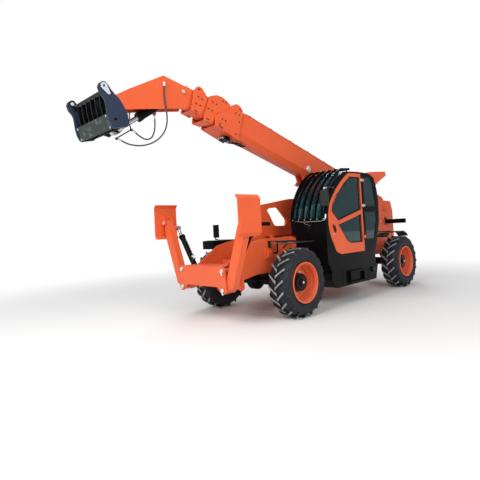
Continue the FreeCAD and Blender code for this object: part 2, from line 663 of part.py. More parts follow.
def stab_cylinder():
    """Barrel and rod behind the arm, in the plane of X at CYL_X."""
    y0, z0 = STAB_CYL_PIN
    y1, z1 = CYL_EYE
    length = hypot(y1 - y0, z1 - z0)
    barrel_len = length - 170
    barrel = rod((0, 0, 62), (0, 0, barrel_len), 48)
    gland = rod((0, 0, barrel_len - 50), (0, 0, barrel_len), 54)
    foot = along(0, 0, 50, -34, 34)
    neck = box(-34, 34, -36, 36, 10, 80)
    shell = join([barrel, gland, foot, neck])
    shell = shell.cut([along(0, 0, STAB_PIN_R + 0.5, -40, 40), rod((0, 0, 110), (0, 0, barrel_len + 1), 26.5)])
    stem = rod((0, 0, 140), (0, 0, length - 24), 26)
    head = along(0, length, 42, -30, 30)
    pin = along(0, length, 24, -42, 30 + 12)
    piston = join([stem, head, pin])
    lean = degrees(atan2(y1 - y0, z1 - z0))
    result = []
    for shape in (shell, piston):
        shape = turned(shape, (0, 0, 0), (1, 0, 0), -lean)
        shape.translate(vec(CYL_X, y0, z0))
        result.append(shape)
    return result


# Cab

def cab_edges(inset, y):
    """Closed side profile of the cab, drawn inward by an inset."""
    i = inset
    p = [vec(-600 + i, y, CAB_FLOOR + i), vec(960 - i, y, CAB_FLOOR + i), vec(1085 - i, y, 820 + i / 2),
         vec(1085 - i, y, 1600), vec(870 - i, y, 2085 - i / 2), vec(400 - i / 2, y, CAB_TOP - 20 - i),
         vec(-60, y, CAB_TOP - i), vec(-560 + i / 2, y, CAB_TOP - 15 - i), vec(-720 + i, y, 2390 - i),
         vec(-858 + i, y, 1900), vec(-858 + i, y, 1640), vec(-790 + i, y, 1320), vec(-600 + i, y, 900)]
    edges = [Part.makeLine(p[0], p[1]), Part.makeLine(p[1], p[2]), Part.makeLine(p[2], p[3]),
             Part.Arc(p[3], p[4], p[5]).toShape(), Part.Arc(p[5], p[6], p[7]).toShape(),
             Part.makeLine(p[7], p[8]), Part.Arc(p[8], vec(-812 + i, y, 2180 - i / 4), p[9]).toShape(),
             Part.makeLine(p[9], p[10]), Part.Arc(p[10], p[11], p[12]).toShape(),
             Part.makeLine(p[12], p[0])]
    return Part.Face(Part.Wire(edges))


def cab_solid(inset, y0, y1):
    return cab_edges(inset, y0).extrude(vec(0, y1 - y0, 0))


def cab_body(inset):
    """The cab's solid, which steps outward below to stand beside the frame."""
    low = cab_solid(inset, CAB_STEP_Y + inset, CAB_Y1 - inset)
    high = cab_solid(inset, CAB_Y0 + inset, CAB_Y1 - inset)
    return low.fuse(high.common(box(-1000, 1300, 0, CAB_Y1 + 10, CAB_STEP_Z + inset, CAB_TOP + 10))).removeSplitter()


def door_outline(grow, y0, y1):
    """The door's outline: straight at the hinge, bowed at the front."""
    g = grow
    p = [vec(-190 - g, y0, 925 - g), vec(660 + g * 0.3, y0, 925 - g), vec(800 + g * 0.7, y0, 985 - g * 0.7),
         vec(905 + g, y0, 1180 - g * 0.4), vec(1004 + g, y0, 1560), vec(930 + g, y0, 1860),
         vec(650 + g * 0.8, y0, 2165 + g * 0.6), vec(240 + g * 0.4, y0, 2440 + g), vec(-190 - g, y0, 2440 + g)]
    edges = [Part.makeLine(p[0], p[1]), Part.makeLine(p[1], p[2]), Part.makeLine(p[2], p[3]),
             Part.Arc(p[3], p[4], p[5]).toShape(), Part.Arc(p[5], p[6], p[7]).toShape(),
             Part.makeLine(p[7], p[8]), Part.makeLine(p[8], p[0])]
    return Part.Face(Part.Wire(edges)).extrude(vec(0, y1 - y0, 0))


def upper_pane(inset, y0, y1):
    i = inset
    p = [vec(-130 + i, y0, 1738 + i), vec(700 - i, y0, 1540 + i), vec(885 - i, y0, 1715),
         vec(868 - i, y0, 1795), vec(640 - i, y0, 2060 - i), vec(215 - i, y0, 2370 - i), vec(-130 + i, y0, 2370 - i)]
    edges = [Part.makeLine(p[0], p[1]), Part.makeLine(p[1], p[2]), Part.makeLine(p[2], p[3]),
             Part.Arc(p[3], p[4], p[5]).toShape(), Part.makeLine(p[5], p[6]), Part.makeLine(p[6], p[0])]
    return Part.Face(Part.Wire(edges)).extrude(vec(0, y1 - y0, 0))


LOWER_PANE = [(-122, 1105), (300, 1108), (430, 1160), (545, 1300), (690, 1462), (-122, 1645)]


REAR_SIDE_PANES = [
    [(-285, 1790), (-285, 2390), (-570, 2390), (-690, 2290), (-765, 1900), (-765, 1790)],
    [(-275, 1130), (-275, 1700), (-780, 1700), (-765, 1500), (-640, 1130)],
]
RIGHT_PANE = [(-600, 1400), (-600, 2300), (250, 2330), (780, 1950), (950, 1600), (900, 1400)]


def windscreen_band(depth0, depth1, y0, y1):
    """Curved sheet between two insets of the cab's front, from sill to roof."""
    sheet = cab_solid(depth0, y0, y1).cut(cab_solid(depth1, y0 - 1, y1 + 1))
    return sheet.common(box(430, 1200, y0, y1, 1610, 2440))


def cab_shell():
    shell = cab_body(0).cut(cab_body(CAB_WALL))
    lugs = []
    for z in DOOR_HINGE_Z:
        lugs += [box(DOOR_HINGE_X - 45, DOOR_HINGE_X + 11, CAB_Y1, CAB_Y1 + DOOR_HINGE_OUT + 11, z + a, z + a + 12)
                 for a in (-14, 72)]
        lugs.append(rod((DOOR_HINGE_X, CAB_Y1 + DOOR_HINGE_OUT, z - 10), (DOOR_HINGE_X, CAB_Y1 + DOOR_HINGE_OUT, z + 80),
                        HINGE_PIN_R))
    cuts = [door_outline(DOOR_GAP, CAB_Y1 - CAB_WALL - 1, CAB_Y1 + 1),
            box(430, 1200, CAB_Y0 + 55, CAB_Y1 - 55, 1610, 2440),
            plate_xz(RIGHT_PANE, CAB_Y0 - 1, CAB_Y0 + CAB_WALL + 1),
            box(-1000, -690, CAB_Y0 + 70, CAB_Y1 - 70, 1700, 2300)]
    cuts += [plate_xz(p, CAB_Y1 - CAB_WALL - 1, CAB_Y1 + 1) for p in REAR_SIDE_PANES]
    return join([shell.cut(cuts)] + lugs)


def cab_glass():
    """Fixed panes: windscreen, rear sides, rear and right."""
    screen = windscreen_band(8, 8 + GLASS, CAB_Y0 + 55, CAB_Y1 - 55)
    panes = [plate_xz(p, CAB_Y1 - 20, CAB_Y1 - 20 + GLASS) for p in REAR_SIDE_PANES]
    panes.append(plate_xz(RIGHT_PANE, CAB_Y0 + 12, CAB_Y0 + 12 + GLASS))
    rear = cab_solid(12, CAB_Y0 + 70, CAB_Y1 - 70).cut(cab_solid(12 + GLASS, CAB_Y0, CAB_Y1))
    panes.append(rear.common(box(-1000, -690, CAB_Y0 + 70, CAB_Y1 - 70, 1700, 2300)))
    return Part.makeCompound([screen] + panes)


def door_frame():
    y0, y1 = CAB_Y1 - 34, CAB_Y1 + 6
    leaf = door_outline(0, y0, y1)
    cuts = [upper_pane(0, y0 - 1, y1 + 1), plate_xz(LOWER_PANE, y0 - 1, y1 + 1)]
    leaf = leaf.cut(cuts)
    handle = plate_xz([(822, 1332), (858, 1336), (893, 1400), (900, 1462), (874, 1472), (842, 1464), (812, 1402),
                       (806, 1346)], y1, y1 + 14)
    pin_y = CAB_Y1 + DOOR_HINGE_OUT
    barrels = [rod((DOOR_HINGE_X, pin_y, z), (DOOR_HINGE_X, pin_y, z + 70), 12) for z in DOOR_HINGE_Z]
    straps = [box(DOOR_HINGE_X + 4, DOOR_HINGE_X + 70, y1, y1 + 22, z + 10, z + 60) for z in DOOR_HINGE_Z]
    bores = [rod((DOOR_HINGE_X, pin_y, z - 1), (DOOR_HINGE_X, pin_y, z + 71), HINGE_PIN_R + RUN_FIT) for z in DOOR_HINGE_Z]
    return join([leaf, handle] + barrels + straps).cut(bores)


def door_glass():
    y = CAB_Y1 - 20
    return Part.makeCompound([upper_pane(0, y, y + GLASS), plate_xz(LOWER_PANE, y, y + GLASS)])


def guard_bars():
    """Bent bars in front of the windscreen, tied by two cross bars."""
    bars = []
    count = 6
    y_first, y_last = CAB_Y0 + 50, CAB_Y1 - 50
    section = 14
    for i in range(count):
        y = y_first + (y_last - y_first) / (count - 1) * i - section / 2
        outer = cab_solid(-70, y, y + section)
        inner = cab_solid(-70 + 40, y - 1, y + section + 1)
        bars.append(outer.cut(inner).common(box(120, 1300, y, y + section, 1590, 2700)))
    rail_low = box(1112, 1152, y_first - 10, y_last + 10, 1570, 1600)
    feet = [box(1060, 1115, y, y + 30, 1575, 1595) for y in (y_first, y_last - 30)]
    top = box(120, 150, y_first - 10, y_last + 10, 2502, 2545)
    posts = [box(125, 145, y, y + 20, 2440, 2505) for y in (y_first + 40, y_last - 60)]
    return join(bars + [rail_low, top] + feet + posts).cut(cab_body(0))


def roof_unit():
    """Housing behind the cab's roof."""
    pts = [(-700, 2400), (-752, 2520), (-1378, 2560), (-1400, 2472), (-1066, 2331), (-930, 2250), (-810, 2250)]
    return plate_xz(pts, CAB_Y0 + 120, CAB_Y1 - 60).cut(cab_body(0))


def cab_controls():
    """Dashboard, steering column and wheel, seat base and lever box."""
    dash = plate_xz([(880, 660), (1030, 860), (1030, 1420), (860, 1480), (760, 1400), (850, 1200), (850, 660)],
                    CAB_STEP_Y + 54, 900)
    column = rod((820, 660, 1380), (640, 660, 1560), 32)
    ring = Part.Face(outline([(171, 0, 0), (178, 0, 12), (192, 0, 12), (199, 0, 0), (192, 0, -12), (178, 0, -12)]))
    ring = ring.revolve(vec(0, 0, 0), vec(0, 0, 1), 360)
    hub = Part.makeCylinder(40, 30, vec(0, 0, -20))
    spokes = [turned(box(20, 180, -10, 10, -8, 4), (0, 0, 0), (0, 0, 1), a) for a in (90, 210, 330)]
    wheel = join([ring, hub] + spokes)
    wheel.rotate(vec(0, 0, 0), vec(0, 1, 0), -45)
    wheel.translate(vec(638, 660, 1562))
    base = box(-430, 160, 500, 900, CAB_FLOOR + CAB_WALL, 1060)
    levers = box(-250, 260, CAB_STEP_Y + 44, CAB_STEP_Y + 114, CAB_FLOOR + CAB_WALL, 1260)
    stick = rod((180, CAB_STEP_Y + 79, 1255), (190, CAB_STEP_Y + 79, 1400), 16)
    return Part.makeCompound([join([dash, column, wheel]), base, join([levers, stick])])


def seat():
    cushion = box(-308, 200, 490, 910, 1060, 1190)
    back = plate_xz([(-430, 1060), (-308, 1060), (-308, 1190), (-370, 1880), (-470, 1880)], 500, 900)
    head = plate_xz([(-470, 1880), (-380, 1880), (-400, 2060), (-480, 2060)], 580, 820)
    return Part.makeCompound([cushion, back, head])


def cab_fittings():
    """Mirror, roof lamp, handles."""
    back = MIRROR_X + 30
    mid = MIRROR_X + 15
    mirror = box(MIRROR_X, back, MIRROR_REACH - 160, MIRROR_REACH, 1800, 2085)
    arm = join([across(790, 2140, 20, CAB_Y1, CAB_Y1 + 16), rod((790, CAB_Y1 + 12, 2140), (mid, MIRROR_REACH - 80, 2140), 10),
                box(mid - 12, mid + 12, MIRROR_REACH - 92, MIRROR_REACH - 68, 2080, 2154)])
    lamp = box(-260, -120, 560, 700, CAB_TOP - 60, CAB_TOP + 80).cut(cab_body(0))
    return Part.makeCompound([join([mirror, arm]), lamp])


# Outside of the frame

def fuel_tank():
    """Tank with steps below the door."""
    body = plate_xz([(-700, CAB_FLOOR), (-600, 330), (820, 330), (980, 480), (980, CAB_FLOOR)], FRAME_HALF, 1040)
    steps = [box(-60, 420, 1040, 1090, z, z + 30) for z in (360, 560)]
    sides = [box(x, x + 12, 1040, 1090, 360, 590) for x in (-72, 420)]
    return join([body] + steps + sides)


def engine_cover():
    """Lower casing of the engine on the right."""
    outer = box(-1060, 1060, -1040, -FRAME_HALF, 560, 1150)
    inner = box(-1030, 1030, -1015, -FRAME_HALF + 1, 590, 1151)
    return outer.cut(inner)


def engine_block():
    return box(-700, 500, -940, -440, 590, 1120)


def hood_lid():
    pts = [(-1060, 1155), (1060, 1155), (1040, 1390), (940, 1450), (-960, 1450), (-1040, 1390)]
    outer = plate_xz(pts, -1040, -505)
    inner = plate_xz([(-1030, 1150), (1030, 1150), (1012, 1375), (928, 1422), (-948, 1422), (-1012, 1375)],
                     -1015, -530)
    lid = outer.cut(inner)
    barrels = [along(*HOOD_HINGE, 12, x - 25, x + 25) for x in HOOD_HINGE_X]
    bores = [along(*HOOD_HINGE, HINGE_PIN_R + RUN_FIT, x - 26, x + 26) for x in HOOD_HINGE_X]
    notches = [along(*HOOD_HINGE, 19, x + a - 1, x + a + 9) for x in HOOD_HINGE_X for a in (-34, 26)]
    return join([lid] + barrels).cut(bores + notches)


def boom_guard():
    """Tall side panel beside the boom, with an opening to look through."""
    pts = [(-1060, 1310), (-1060, 2040), (-900, 2120), (280, 2065), (1250, 1925), (1330, 1860), (1330, 1300)]
    panel = plate_xz(pts, -480, -420)
    win = plate_xz([(930, 1868), (649, 1890), (600, 1862), (385, 1650), (368, 1600), (385, 1515), (420, 1498),
                    (740, 1505), (790, 1540), (900, 1730), (975, 1820)], -481, -419)
    feet = [box(x, x + 60, -480, -FRAME_HALF, 1125, 1330) for x in (-900, 0, 860)]
    lugs = []
    for x in HOOD_HINGE_X:
        lugs += [box(x + a, x + a + 8, HOOD_HINGE[0] - 12, -480, HOOD_HINGE[1] - 12, HOOD_HINGE[1] + 12)
                 for a in (-34, 26)]
        lugs.append(along(*HOOD_HINGE, HINGE_PIN_R, x - 30, x + 30))
    return join([panel.cut(win)] + feet + lugs)


def rear_lamp_arms():
    """A flanged arm on each side of the tower that holds the rear lamps."""
    flange = box(-2545, -2465, FRAME_HALF, FRAME_HALF + 16, 1385, 1575)
    arm = box(-2530, -2480, FRAME_HALF, 858, 1412, 1517)
    return Part.makeCompound(both(join([flange, arm])))


def battery_box():
    """Box over the right front wheel, with the road mirror on its bent tube."""
    case = box(1980, 2480, -680, -FRAME_HALF, 1150, 1300)
    bends = [(2000, -660, 1285), (1760, -MIRROR_REACH + 80, 1295), (1745, -MIRROR_REACH + 70, 1350)]
    tube = [rod(bends[0], bends[1], 12), rod(bends[1], bends[2], 12)]
    plate = box(1715, 1745, -MIRROR_REACH, -MIRROR_REACH + 145, 1330, 1590)
    return join([case, plate] + tube)


def shift_x(shapes):
    boxes = [s.BoundBox for s in shapes]
    return -(min(b.XMin for b in boxes) + max(b.XMax for b in boxes)) / 2


def wheel_places():
    front = WHEELBASE / 2
    return [("front_left", front, 1), ("front_right", front, -1),
            ("rear_left", -front, 1), ("rear_right", -front, -1)]


def build():
    nodes = {}
    nodes["chassis_frame"] = chassis_frame()
    nodes["nose_beam"] = beam()
    weight = counterweight()
    nodes["counterweight"] = Part.makeCompound([weight, mirrored(weight)])
    nodes["mudguards"] = mudguards()
    for name, x, in (("axle_front", WHEELBASE / 2), ("axle_rear", -WHEELBASE / 2)):
        shape = axle()
        if x < 0:
            shape.rotate(vec(0, 0, 0), vec(0, 0, 1), 180)
        shape.translate(vec(x, 0, TYRE_R))
        nodes[name] = shape
    one_tyre, one_rim, one_knuckle = tyre(), rim(), knuckle()
    for name, x, side in wheel_places():
        for part, shape, y in (("tyre", one_tyre, TRACK_HALF), ("rim", one_rim, TRACK_HALF),
                               ("knuckle", one_knuckle, KINGPIN_Y)):
            copy = shape.copy()
            copy.translate(vec(x, y, TYRE_R))
            nodes[part + "_" + name] = copy if side > 0 else mirrored(copy)
    nodes["boom_main"] = boom_main()
    nodes["boom_section_2"] = boom_section_2()
    nodes["boom_section_3"] = boom_section_3()
    nodes["boom_section_4"] = boom_section_4()
    nodes["coupler"] = coupler()
    nodes["hose_top"] = hose(HOSE_TOP, HOSE_R)
    nodes["hose_loop"] = hose(HOSE_LOOP, HOSE_R)
    nodes["lift_barrel"], nodes["lift_rod"] = lift_cylinder()
    nodes["tilt_barrel"], nodes["tilt_rod"] = tilt_cylinder()
    arm, foot = stab_arm(), stab_foot()
    barrel, piston = stab_cylinder()
    for part, shape in (("stabiliser_arm", arm), ("stabiliser_foot", foot), ("stabiliser_barrel", barrel),
                        ("stabiliser_rod", piston)):
        nodes[part + "_left"] = shape
        nodes[part + "_right"] = mirrored(shape)
    nodes["cab_shell"] = cab_shell()
    nodes["cab_glass"] = cab_glass()
    nodes["door_frame"] = door_frame()
    nodes["door_glass"] = door_glass()
    nodes["guard_bars"] = guard_bars()
    nodes["roof_unit"] = roof_unit()
    nodes["cab_controls"] = cab_controls()
    nodes["seat"] = seat()
    nodes["cab_fittings"] = cab_fittings()
    nodes["fuel_tank"] = fuel_tank()
    nodes["engine_cover"] = engine_cover()
    nodes["engine_block"] = engine_block()
    nodes["hood_lid"] = hood_lid()
    nodes["boom_guard"] = boom_guard()
    nodes["battery_box"] = battery_box()
    nodes["rear_lamp_arms"] = rear_lamp_arms()
    return nodes


def main():
    os.makedirs("parts", exist_ok=True)
    nodes = build()
    shift = shift_x(nodes.values())
    print("shift", shift)
    for name, shape in nodes.items():
        shape.translate(vec(shift, 0, 0))
        if not shape.isValid():
            print("not valid", name)
        shape.exportStep("parts/" + name + ".step")


if __name__ == "__main__":
    main()
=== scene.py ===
import bpy
import bmesh
from math import radians, sin, cos, tan, atan2, hypot, pi
from mathutils import Matrix, Vector


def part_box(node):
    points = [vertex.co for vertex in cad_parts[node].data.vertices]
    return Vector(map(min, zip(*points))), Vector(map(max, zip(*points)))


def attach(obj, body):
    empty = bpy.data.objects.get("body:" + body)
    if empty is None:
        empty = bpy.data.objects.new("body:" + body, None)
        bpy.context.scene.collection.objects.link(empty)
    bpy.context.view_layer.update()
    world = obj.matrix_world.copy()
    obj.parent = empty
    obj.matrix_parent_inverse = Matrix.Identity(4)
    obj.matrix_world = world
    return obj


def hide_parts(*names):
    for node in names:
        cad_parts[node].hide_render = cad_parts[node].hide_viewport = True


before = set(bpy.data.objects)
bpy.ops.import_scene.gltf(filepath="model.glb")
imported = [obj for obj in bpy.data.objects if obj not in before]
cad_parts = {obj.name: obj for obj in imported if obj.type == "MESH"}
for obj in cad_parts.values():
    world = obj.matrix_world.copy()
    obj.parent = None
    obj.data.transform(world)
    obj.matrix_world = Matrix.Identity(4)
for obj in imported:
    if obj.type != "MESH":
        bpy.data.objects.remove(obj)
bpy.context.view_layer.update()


# The machine's axes: metres from the middle of the wheelbase, X forward, Y to the machine's left and Z up.
# The boom and the coupler have axes of their own, turned about their pins to where they rest.
AXLE_X = 1.845  # each axle from the middle of the wheelbase
BOOM_PIN, BOOM_REST = (-2.5, 0, 1.8), 16.5
COUPLER_PIN, COUPLER_REST = (4.68, 0, 3.24), 20
tyre_low, tyre_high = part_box("tyre_front_left")
MACHINE = Matrix.Translation(((tyre_low.x + tyre_high.x) / 2 - AXLE_X, 0, 0))
BOOM = MACHINE @ Matrix.Translation(BOOM_PIN) @ Matrix.Rotation(radians(-BOOM_REST), 4, "Y")
COUPLER = MACHINE @ Matrix.Translation(COUPLER_PIN) @ Matrix.Rotation(radians(COUPLER_REST), 4, "Y")
AHEAD, ASTERN, LEFT, RIGHT, UP, DOWN = (1, 0, 0), (-1, 0, 0), (0, 1, 0), (0, -1, 0), (0, 0, 1), (0, 0, -1)
SIDES = [("left", 1), ("right", -1)]


def shown(name, data):
    """A new object of the scene with this data."""
    made = bpy.data.objects.new(name, data)
    bpy.context.scene.collection.objects.link(made)
    return made


# Camera: a hand-held picture from a standing person's height, ahead of the left front wheel, with a slight tilt.
STAND = Vector((7.3271, 5.2950, 1.5095))
YAW, PITCH, ROLL = 0.797238, 0.033422, 0.054448
camera_data = bpy.data.cameras.new("camera")
camera_data.sensor_width = 36
camera_data.lens = 31.5
camera_data.shift_y = -0.0552
camera_data.clip_end = 300
camera = shown("camera", camera_data)
bpy.context.scene.camera = camera
sight = Vector((-cos(YAW) * cos(PITCH), -sin(YAW) * cos(PITCH), sin(PITCH)))
level_right = sight.cross(Vector(UP)).normalized()
level_up = level_right.cross(sight)
right = level_right * cos(ROLL) - level_up * sin(ROLL)
up = level_right * sin(ROLL) + level_up * cos(ROLL)
camera.matrix_world = Matrix.Translation(MACHINE @ STAND) @ Matrix((right, up, -sight)).transposed().to_4x4()


# Materials are node trees over each object's own coordinates. A link is written as (node, output).
def linear(code):
    """An sRGB hex colour as linear red, green and blue, with full alpha."""
    parts = [int(code[i:i + 2], 16) / 255 for i in (0, 2, 4)]
    return [c / 12.92 if c <= 0.04045 else ((c + 0.055) / 1.055) ** 2.4 for c in parts] + [1.0]


def add(tree, kind, settings, inputs):
    """Adds a node: its own settings, then its inputs as values or as links."""
    made = tree.nodes.new("ShaderNode" + kind)
    for name, value in settings.items():
        setattr(made, name, value)
    for name, value in inputs.items():
        if isinstance(value, tuple):
            tree.links.new(value[0].outputs[value[1]], made.inputs[name])
        else:
            made.inputs[name].default_value = value
    return made


def fresh(name):
    """A new material with an empty node tree, and the link to its object coordinates."""
    material = bpy.data.materials.new(name)
    material.use_nodes = True
    tree = material.node_tree
    tree.nodes.clear()
    return material, tree, (add(tree, "TexCoord", {}, {}), "Object")


def noise(tree, at, scale, detail, rough=0.5):
    """Link to cloudy noise."""
    return add(tree, "TexNoise", {}, {"Vector": at, "Scale": scale, "Detail": detail, "Roughness": rough}), 0


def cells(tree, at, scale):
    """Link to the distance from the nearest cell's middle."""
    return add(tree, "TexVoronoi", {}, {"Vector": at, "Scale": scale}), 0


def bands(tree, at, way, scale):
    """Link to parallel waves."""
    return add(tree, "TexWave", {"bands_direction": way}, {"Vector": at, "Scale": scale}), 1


def tones(tree, share, one, two):
    """Link to a blend of two colours, which are hex codes or links."""
    one, two = [linear(colour) if isinstance(colour, str) else colour for colour in (one, two)]
    return add(tree, "Mix", {"data_type": "RGBA"}, {0: share, 6: one, 7: two}), 2


def stretch(tree, value, begin, end, low=0.0, high=1.0):
    """Link to a value that is stretched from one range to another."""
    return add(tree, "MapRange", {}, {"Value": value, "From Min": begin, "From Max": end,
                                      "To Min": low, "To Max": high}), 0


def reckon(tree, operation, *values):
    """Link to the result of an operation."""
    return add(tree, "Math", {"operation": operation}, dict(enumerate(values))), 0


def relief(tree, height, strength, distance=0.001):
    """Link to a bumpy normal."""
    return add(tree, "Bump", {}, {"Height": height, "Strength": strength, "Distance": distance}), 0


def finish(tree, kind, inputs):
    """Ends a tree in this shader."""
    add(tree, "OutputMaterial", {}, {"Surface": (add(tree, kind, {}, inputs), 0)})


# Tool circuit hoses: nitrile rubber over braided wire, 22 mm across, black and slightly wrinkled across.
# Each leaves a union on the neck, hangs in one slack bow and ends in a clamp of the bent bar on the right.
# The cloth impression of the wrapping tape is 1.5 mm apart on the real hose and drawn 5 mm apart to show.
nitrile, tree, at = fresh("nitrile_hose")
finish(tree, "BsdfPrincipled", {"Base Color": tones(tree, noise(tree, at, 14.0, 5.0), "1E2023", "33363A"),
                                "Roughness": 0.52, "Normal": relief(tree, bands(tree, at, "DIAGONAL", 32.0), 0.35)})

# name, the CAD route's points in machine metres, length
HOSES = [
    ("hose_to_left", [(3.716, 0.134, 3.740), (3.728, 0.134, 3.640), (3.728, 0.134, 3.500), (3.706, 0.134, 3.340),
                      (3.690, 0.128, 3.180), (3.700, 0.090, 3.040), (3.765, 0.030, 2.915), (3.880, -0.040, 2.830),
                      (4.030, -0.100, 2.790), (4.190, -0.134, 2.800), (4.290, -0.140, 2.835),
                      (4.370, -0.140, 2.870)], 1.536, "hose_top"),
    ("hose_to_right", [(3.742, -0.140, 3.300), (3.734, -0.140, 3.215), (3.742, -0.140, 3.100),
                       (3.770, -0.140, 3.000), (3.825, -0.140, 2.930), (3.905, -0.140, 2.905),
                       (3.985, -0.140, 2.930), (4.060, -0.140, 2.975), (4.130, -0.140, 3.025)], 0.728, "hose_loop"),
]
for name, route, length, node in HOSES:
    line = bpy.data.curves.new(name, "CURVE")
    line.dimensions = "3D"
    line.bevel_depth = 0.011
    line.bevel_resolution = 5
    line.resolution_u = 16
    line.use_fill_caps = True
    spline = line.splines.new("NURBS")
    spline.points.add(len(route) - 1)
    for point, spot in zip(spline.points, route):
        point.co = (*(MACHINE @ Vector(spot)), 1.0)
    spline.order_u = 3
    spline.use_endpoint_u = True
    line.materials.append(nitrile)
    piece = shown(name, line)
    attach(piece, "boom_section_4")
    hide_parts(node)


# Studio: a pale matt floor under three soft lamps and an even white room. Far from the machine the floor is
# seen as white as the room, so that no horizon shows, and near it the floor keeps the machine's shadow.
concrete, tree, at = fresh("studio_floor")
reach = add(tree, "VectorMath", {"operation": "LENGTH"}, {0: at})
far = stretch(tree, (reach, "Value"), 3.4, 10.0)
far[0].interpolation_type = "SMOOTHSTEP"
ray = add(tree, "LightPath", {}, {})
direct = reckon(tree, "MAXIMUM", (ray, "Is Camera Ray"), (ray, "Is Glossy Ray"))
seen = reckon(tree, "MAXIMUM", direct, (ray, "Is Transmission Ray"))
matt = add(tree, "BsdfPrincipled", {}, {"Base Color": linear("E6E5E2"), "Roughness": 0.85})
white = add(tree, "Emission", {}, {"Color": linear("FFFFFF"), "Strength": 1.0})
finish(tree, "MixShader", {0: reckon(tree, "MULTIPLY", far, seen), 1: (matt, 0), 2: (white, 0)})
floor_mesh = bpy.data.meshes.new("studio_floor")
shape = bmesh.new()
bmesh.ops.create_circle(shape, cap_ends=True, radius=60, segments=96)
shape.to_mesh(floor_mesh)
shape.free()
floor_mesh.materials.append(concrete)
floor = shown("studio_floor", floor_mesh)
floor.location = (0, 0, -0.001)

room = bpy.data.worlds.new("white_room")
bpy.context.scene.world = room
room.use_nodes = True
tree = room.node_tree
tree.nodes.clear()
ray = add(tree, "LightPath", {}, {})
seen = add(tree, "Background", {}, {"Color": linear("FFFFFF"), "Strength": 1.0})
lit = add(tree, "Background", {}, {"Color": linear("EEF3FA"), "Strength": 0.5})
pick = add(tree, "MixShader", {}, {0: (ray, "Is Camera Ray"), 1: (lit, 0), 2: (seen, 0)})
add(tree, "OutputWorld", {}, {"Surface": (pick, 0)})

LAMP_SIZE = 6.0
# name, place, aim, power in watts
LAMPS = [
    ("lamp_key", (9.5, 1.0, 7.5), (0.5, 0, 1.4), 800),
    ("lamp_side", (5.5, 10.0, 5.5), (-0.2, 0, 1.2), 600),
    ("lamp_back", (-8.0, -6.0, 8.0), (0, 0, 1.5), 420),
]
for name, spot, aim, power in LAMPS:
    data = bpy.data.lights.new(name, "AREA")
    data.shape = "DISK"
    data.size = LAMP_SIZE
    data.energy = power
    lamp = shown(name, data)
    lamp.location = MACHINE @ Vector(spot)
    lamp.rotation_euler = (Vector(aim) - Vector(spot)).to_track_quat("-Z", "Y").to_euler()


# Painted plate: orange two-pack enamel sprayed over steel, glossy with a fine ripple and a little road dust
# low down. Black and slate blue are the same enamel, and so is the skin of the stainless rail.
def sprayed_enamel(name, colour, shade, roughness, dust, gloss=0.5, second=None, limit=0.0, across=1, metal=0.0):
    """Gloss enamel: cloudy colour, spray ripple 6 mm across and dust that gathers low down.
    A second colour, where given, covers what lies beyond this Y: on one side, or on both for across = 2."""
    material, tree, at = fresh(name)
    tone = tones(tree, noise(tree, at, 1.7, 5.0, 0.6), colour, shade)
    axes = add(tree, "SeparateXYZ", {}, {0: at})
    if second:
        if across == 2:
            width = reckon(tree, "ABSOLUTE", (axes, "Y"))
        else:
            width = reckon(tree, "MULTIPLY", (axes, "Y"), -1.0)
        tone = tones(tree, reckon(tree, "GREATER_THAN", width, limit), tone, second)
    low = stretch(tree, (axes, "Z"), 1.1, 0.1, 0.0, dust)
    speck = noise(tree, at, 28.0, 6.0)
    finish(tree, "BsdfPrincipled", {"Base Color": tones(tree, reckon(tree, "MULTIPLY", low, speck), tone, "8D8478"),
                                    "Roughness": stretch(tree, speck, 0.0, 1.0, roughness - 0.06, roughness + 0.10),
                                    "Normal": relief(tree, noise(tree, at, 160.0, 2.0), 0.05, 0.002),
                                    "IOR": 1.45, "Specular IOR Level": gloss, "Metallic": metal})
    return material


def finish_nodes(material, *names):
    """Gives CAD nodes this material."""
    for name in names:
        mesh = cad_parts[name].data
        mesh.materials.clear()
        mesh.materials.append(material)


orange = sprayed_enamel("orange_enamel", "E46236", "DA572D", 0.36, 0.3, 0.35)
finish_nodes(orange, "chassis_frame", "nose_beam", "counterweight", "boom_main", "boom_section_2", "boom_section_3",
             "stabiliser_arm_left", "stabiliser_arm_right", "stabiliser_foot_left",
             "stabiliser_foot_right", "hood_lid", "engine_cover", "boom_guard", "door_frame", "roof_unit")
neck = sprayed_enamel("neck_enamel", "E46236", "DA572D", 0.36, 0.0, 0.35, "0B0C0E", 0.119)
finish_nodes(neck, "boom_section_4")
black = sprayed_enamel("black_enamel", "050608", "0A0B0D", 0.22, 0.02, 0.08)
finish_nodes(black, "cab_shell", "guard_bars", "fuel_tank", "axle_front", "axle_rear", "battery_box",
             "knuckle_front_left", "knuckle_front_right", "knuckle_rear_left", "knuckle_rear_right",
             "lift_barrel", "tilt_barrel", "stabiliser_barrel_left", "stabiliser_barrel_right", "cab_fittings",
             "engine_block", "rear_lamp_arms")
slate = sprayed_enamel("slate_enamel", "08090B", "0E0F12", 0.26, 0.0, 0.4, "263044", 0.452, 2)
finish_nodes(slate, "coupler")


# Cylinder rods: ground steel with hard chrome, which mirrors the room in long streaks.
chrome, tree, at = fresh("hard_chrome")
finish(tree, "BsdfPrincipled", {"Base Color": linear("D2D4D6"), "Metallic": 1.0,
                                "Roughness": stretch(tree, noise(tree, at, 60.0, 3.0), 0.0, 1.0, 0.08, 0.2)})
finish_nodes(chrome, "lift_rod", "tilt_rod", "stabiliser_rod_left", "stabiliser_rod_right")


# Zinc-plated steel: pin heads, keeper plates, hose unions and bolts, pale and faintly blue with a fine
# spangle 8 mm across.
zinc, tree, at = fresh("zinc_plated_steel")
finish(tree, "BsdfPrincipled", {"Base Color": tones(tree, cells(tree, at, 120.0), "E4E7EA", "C4C9CF"),
                                "Metallic": 0.65, "Roughness": 0.38})


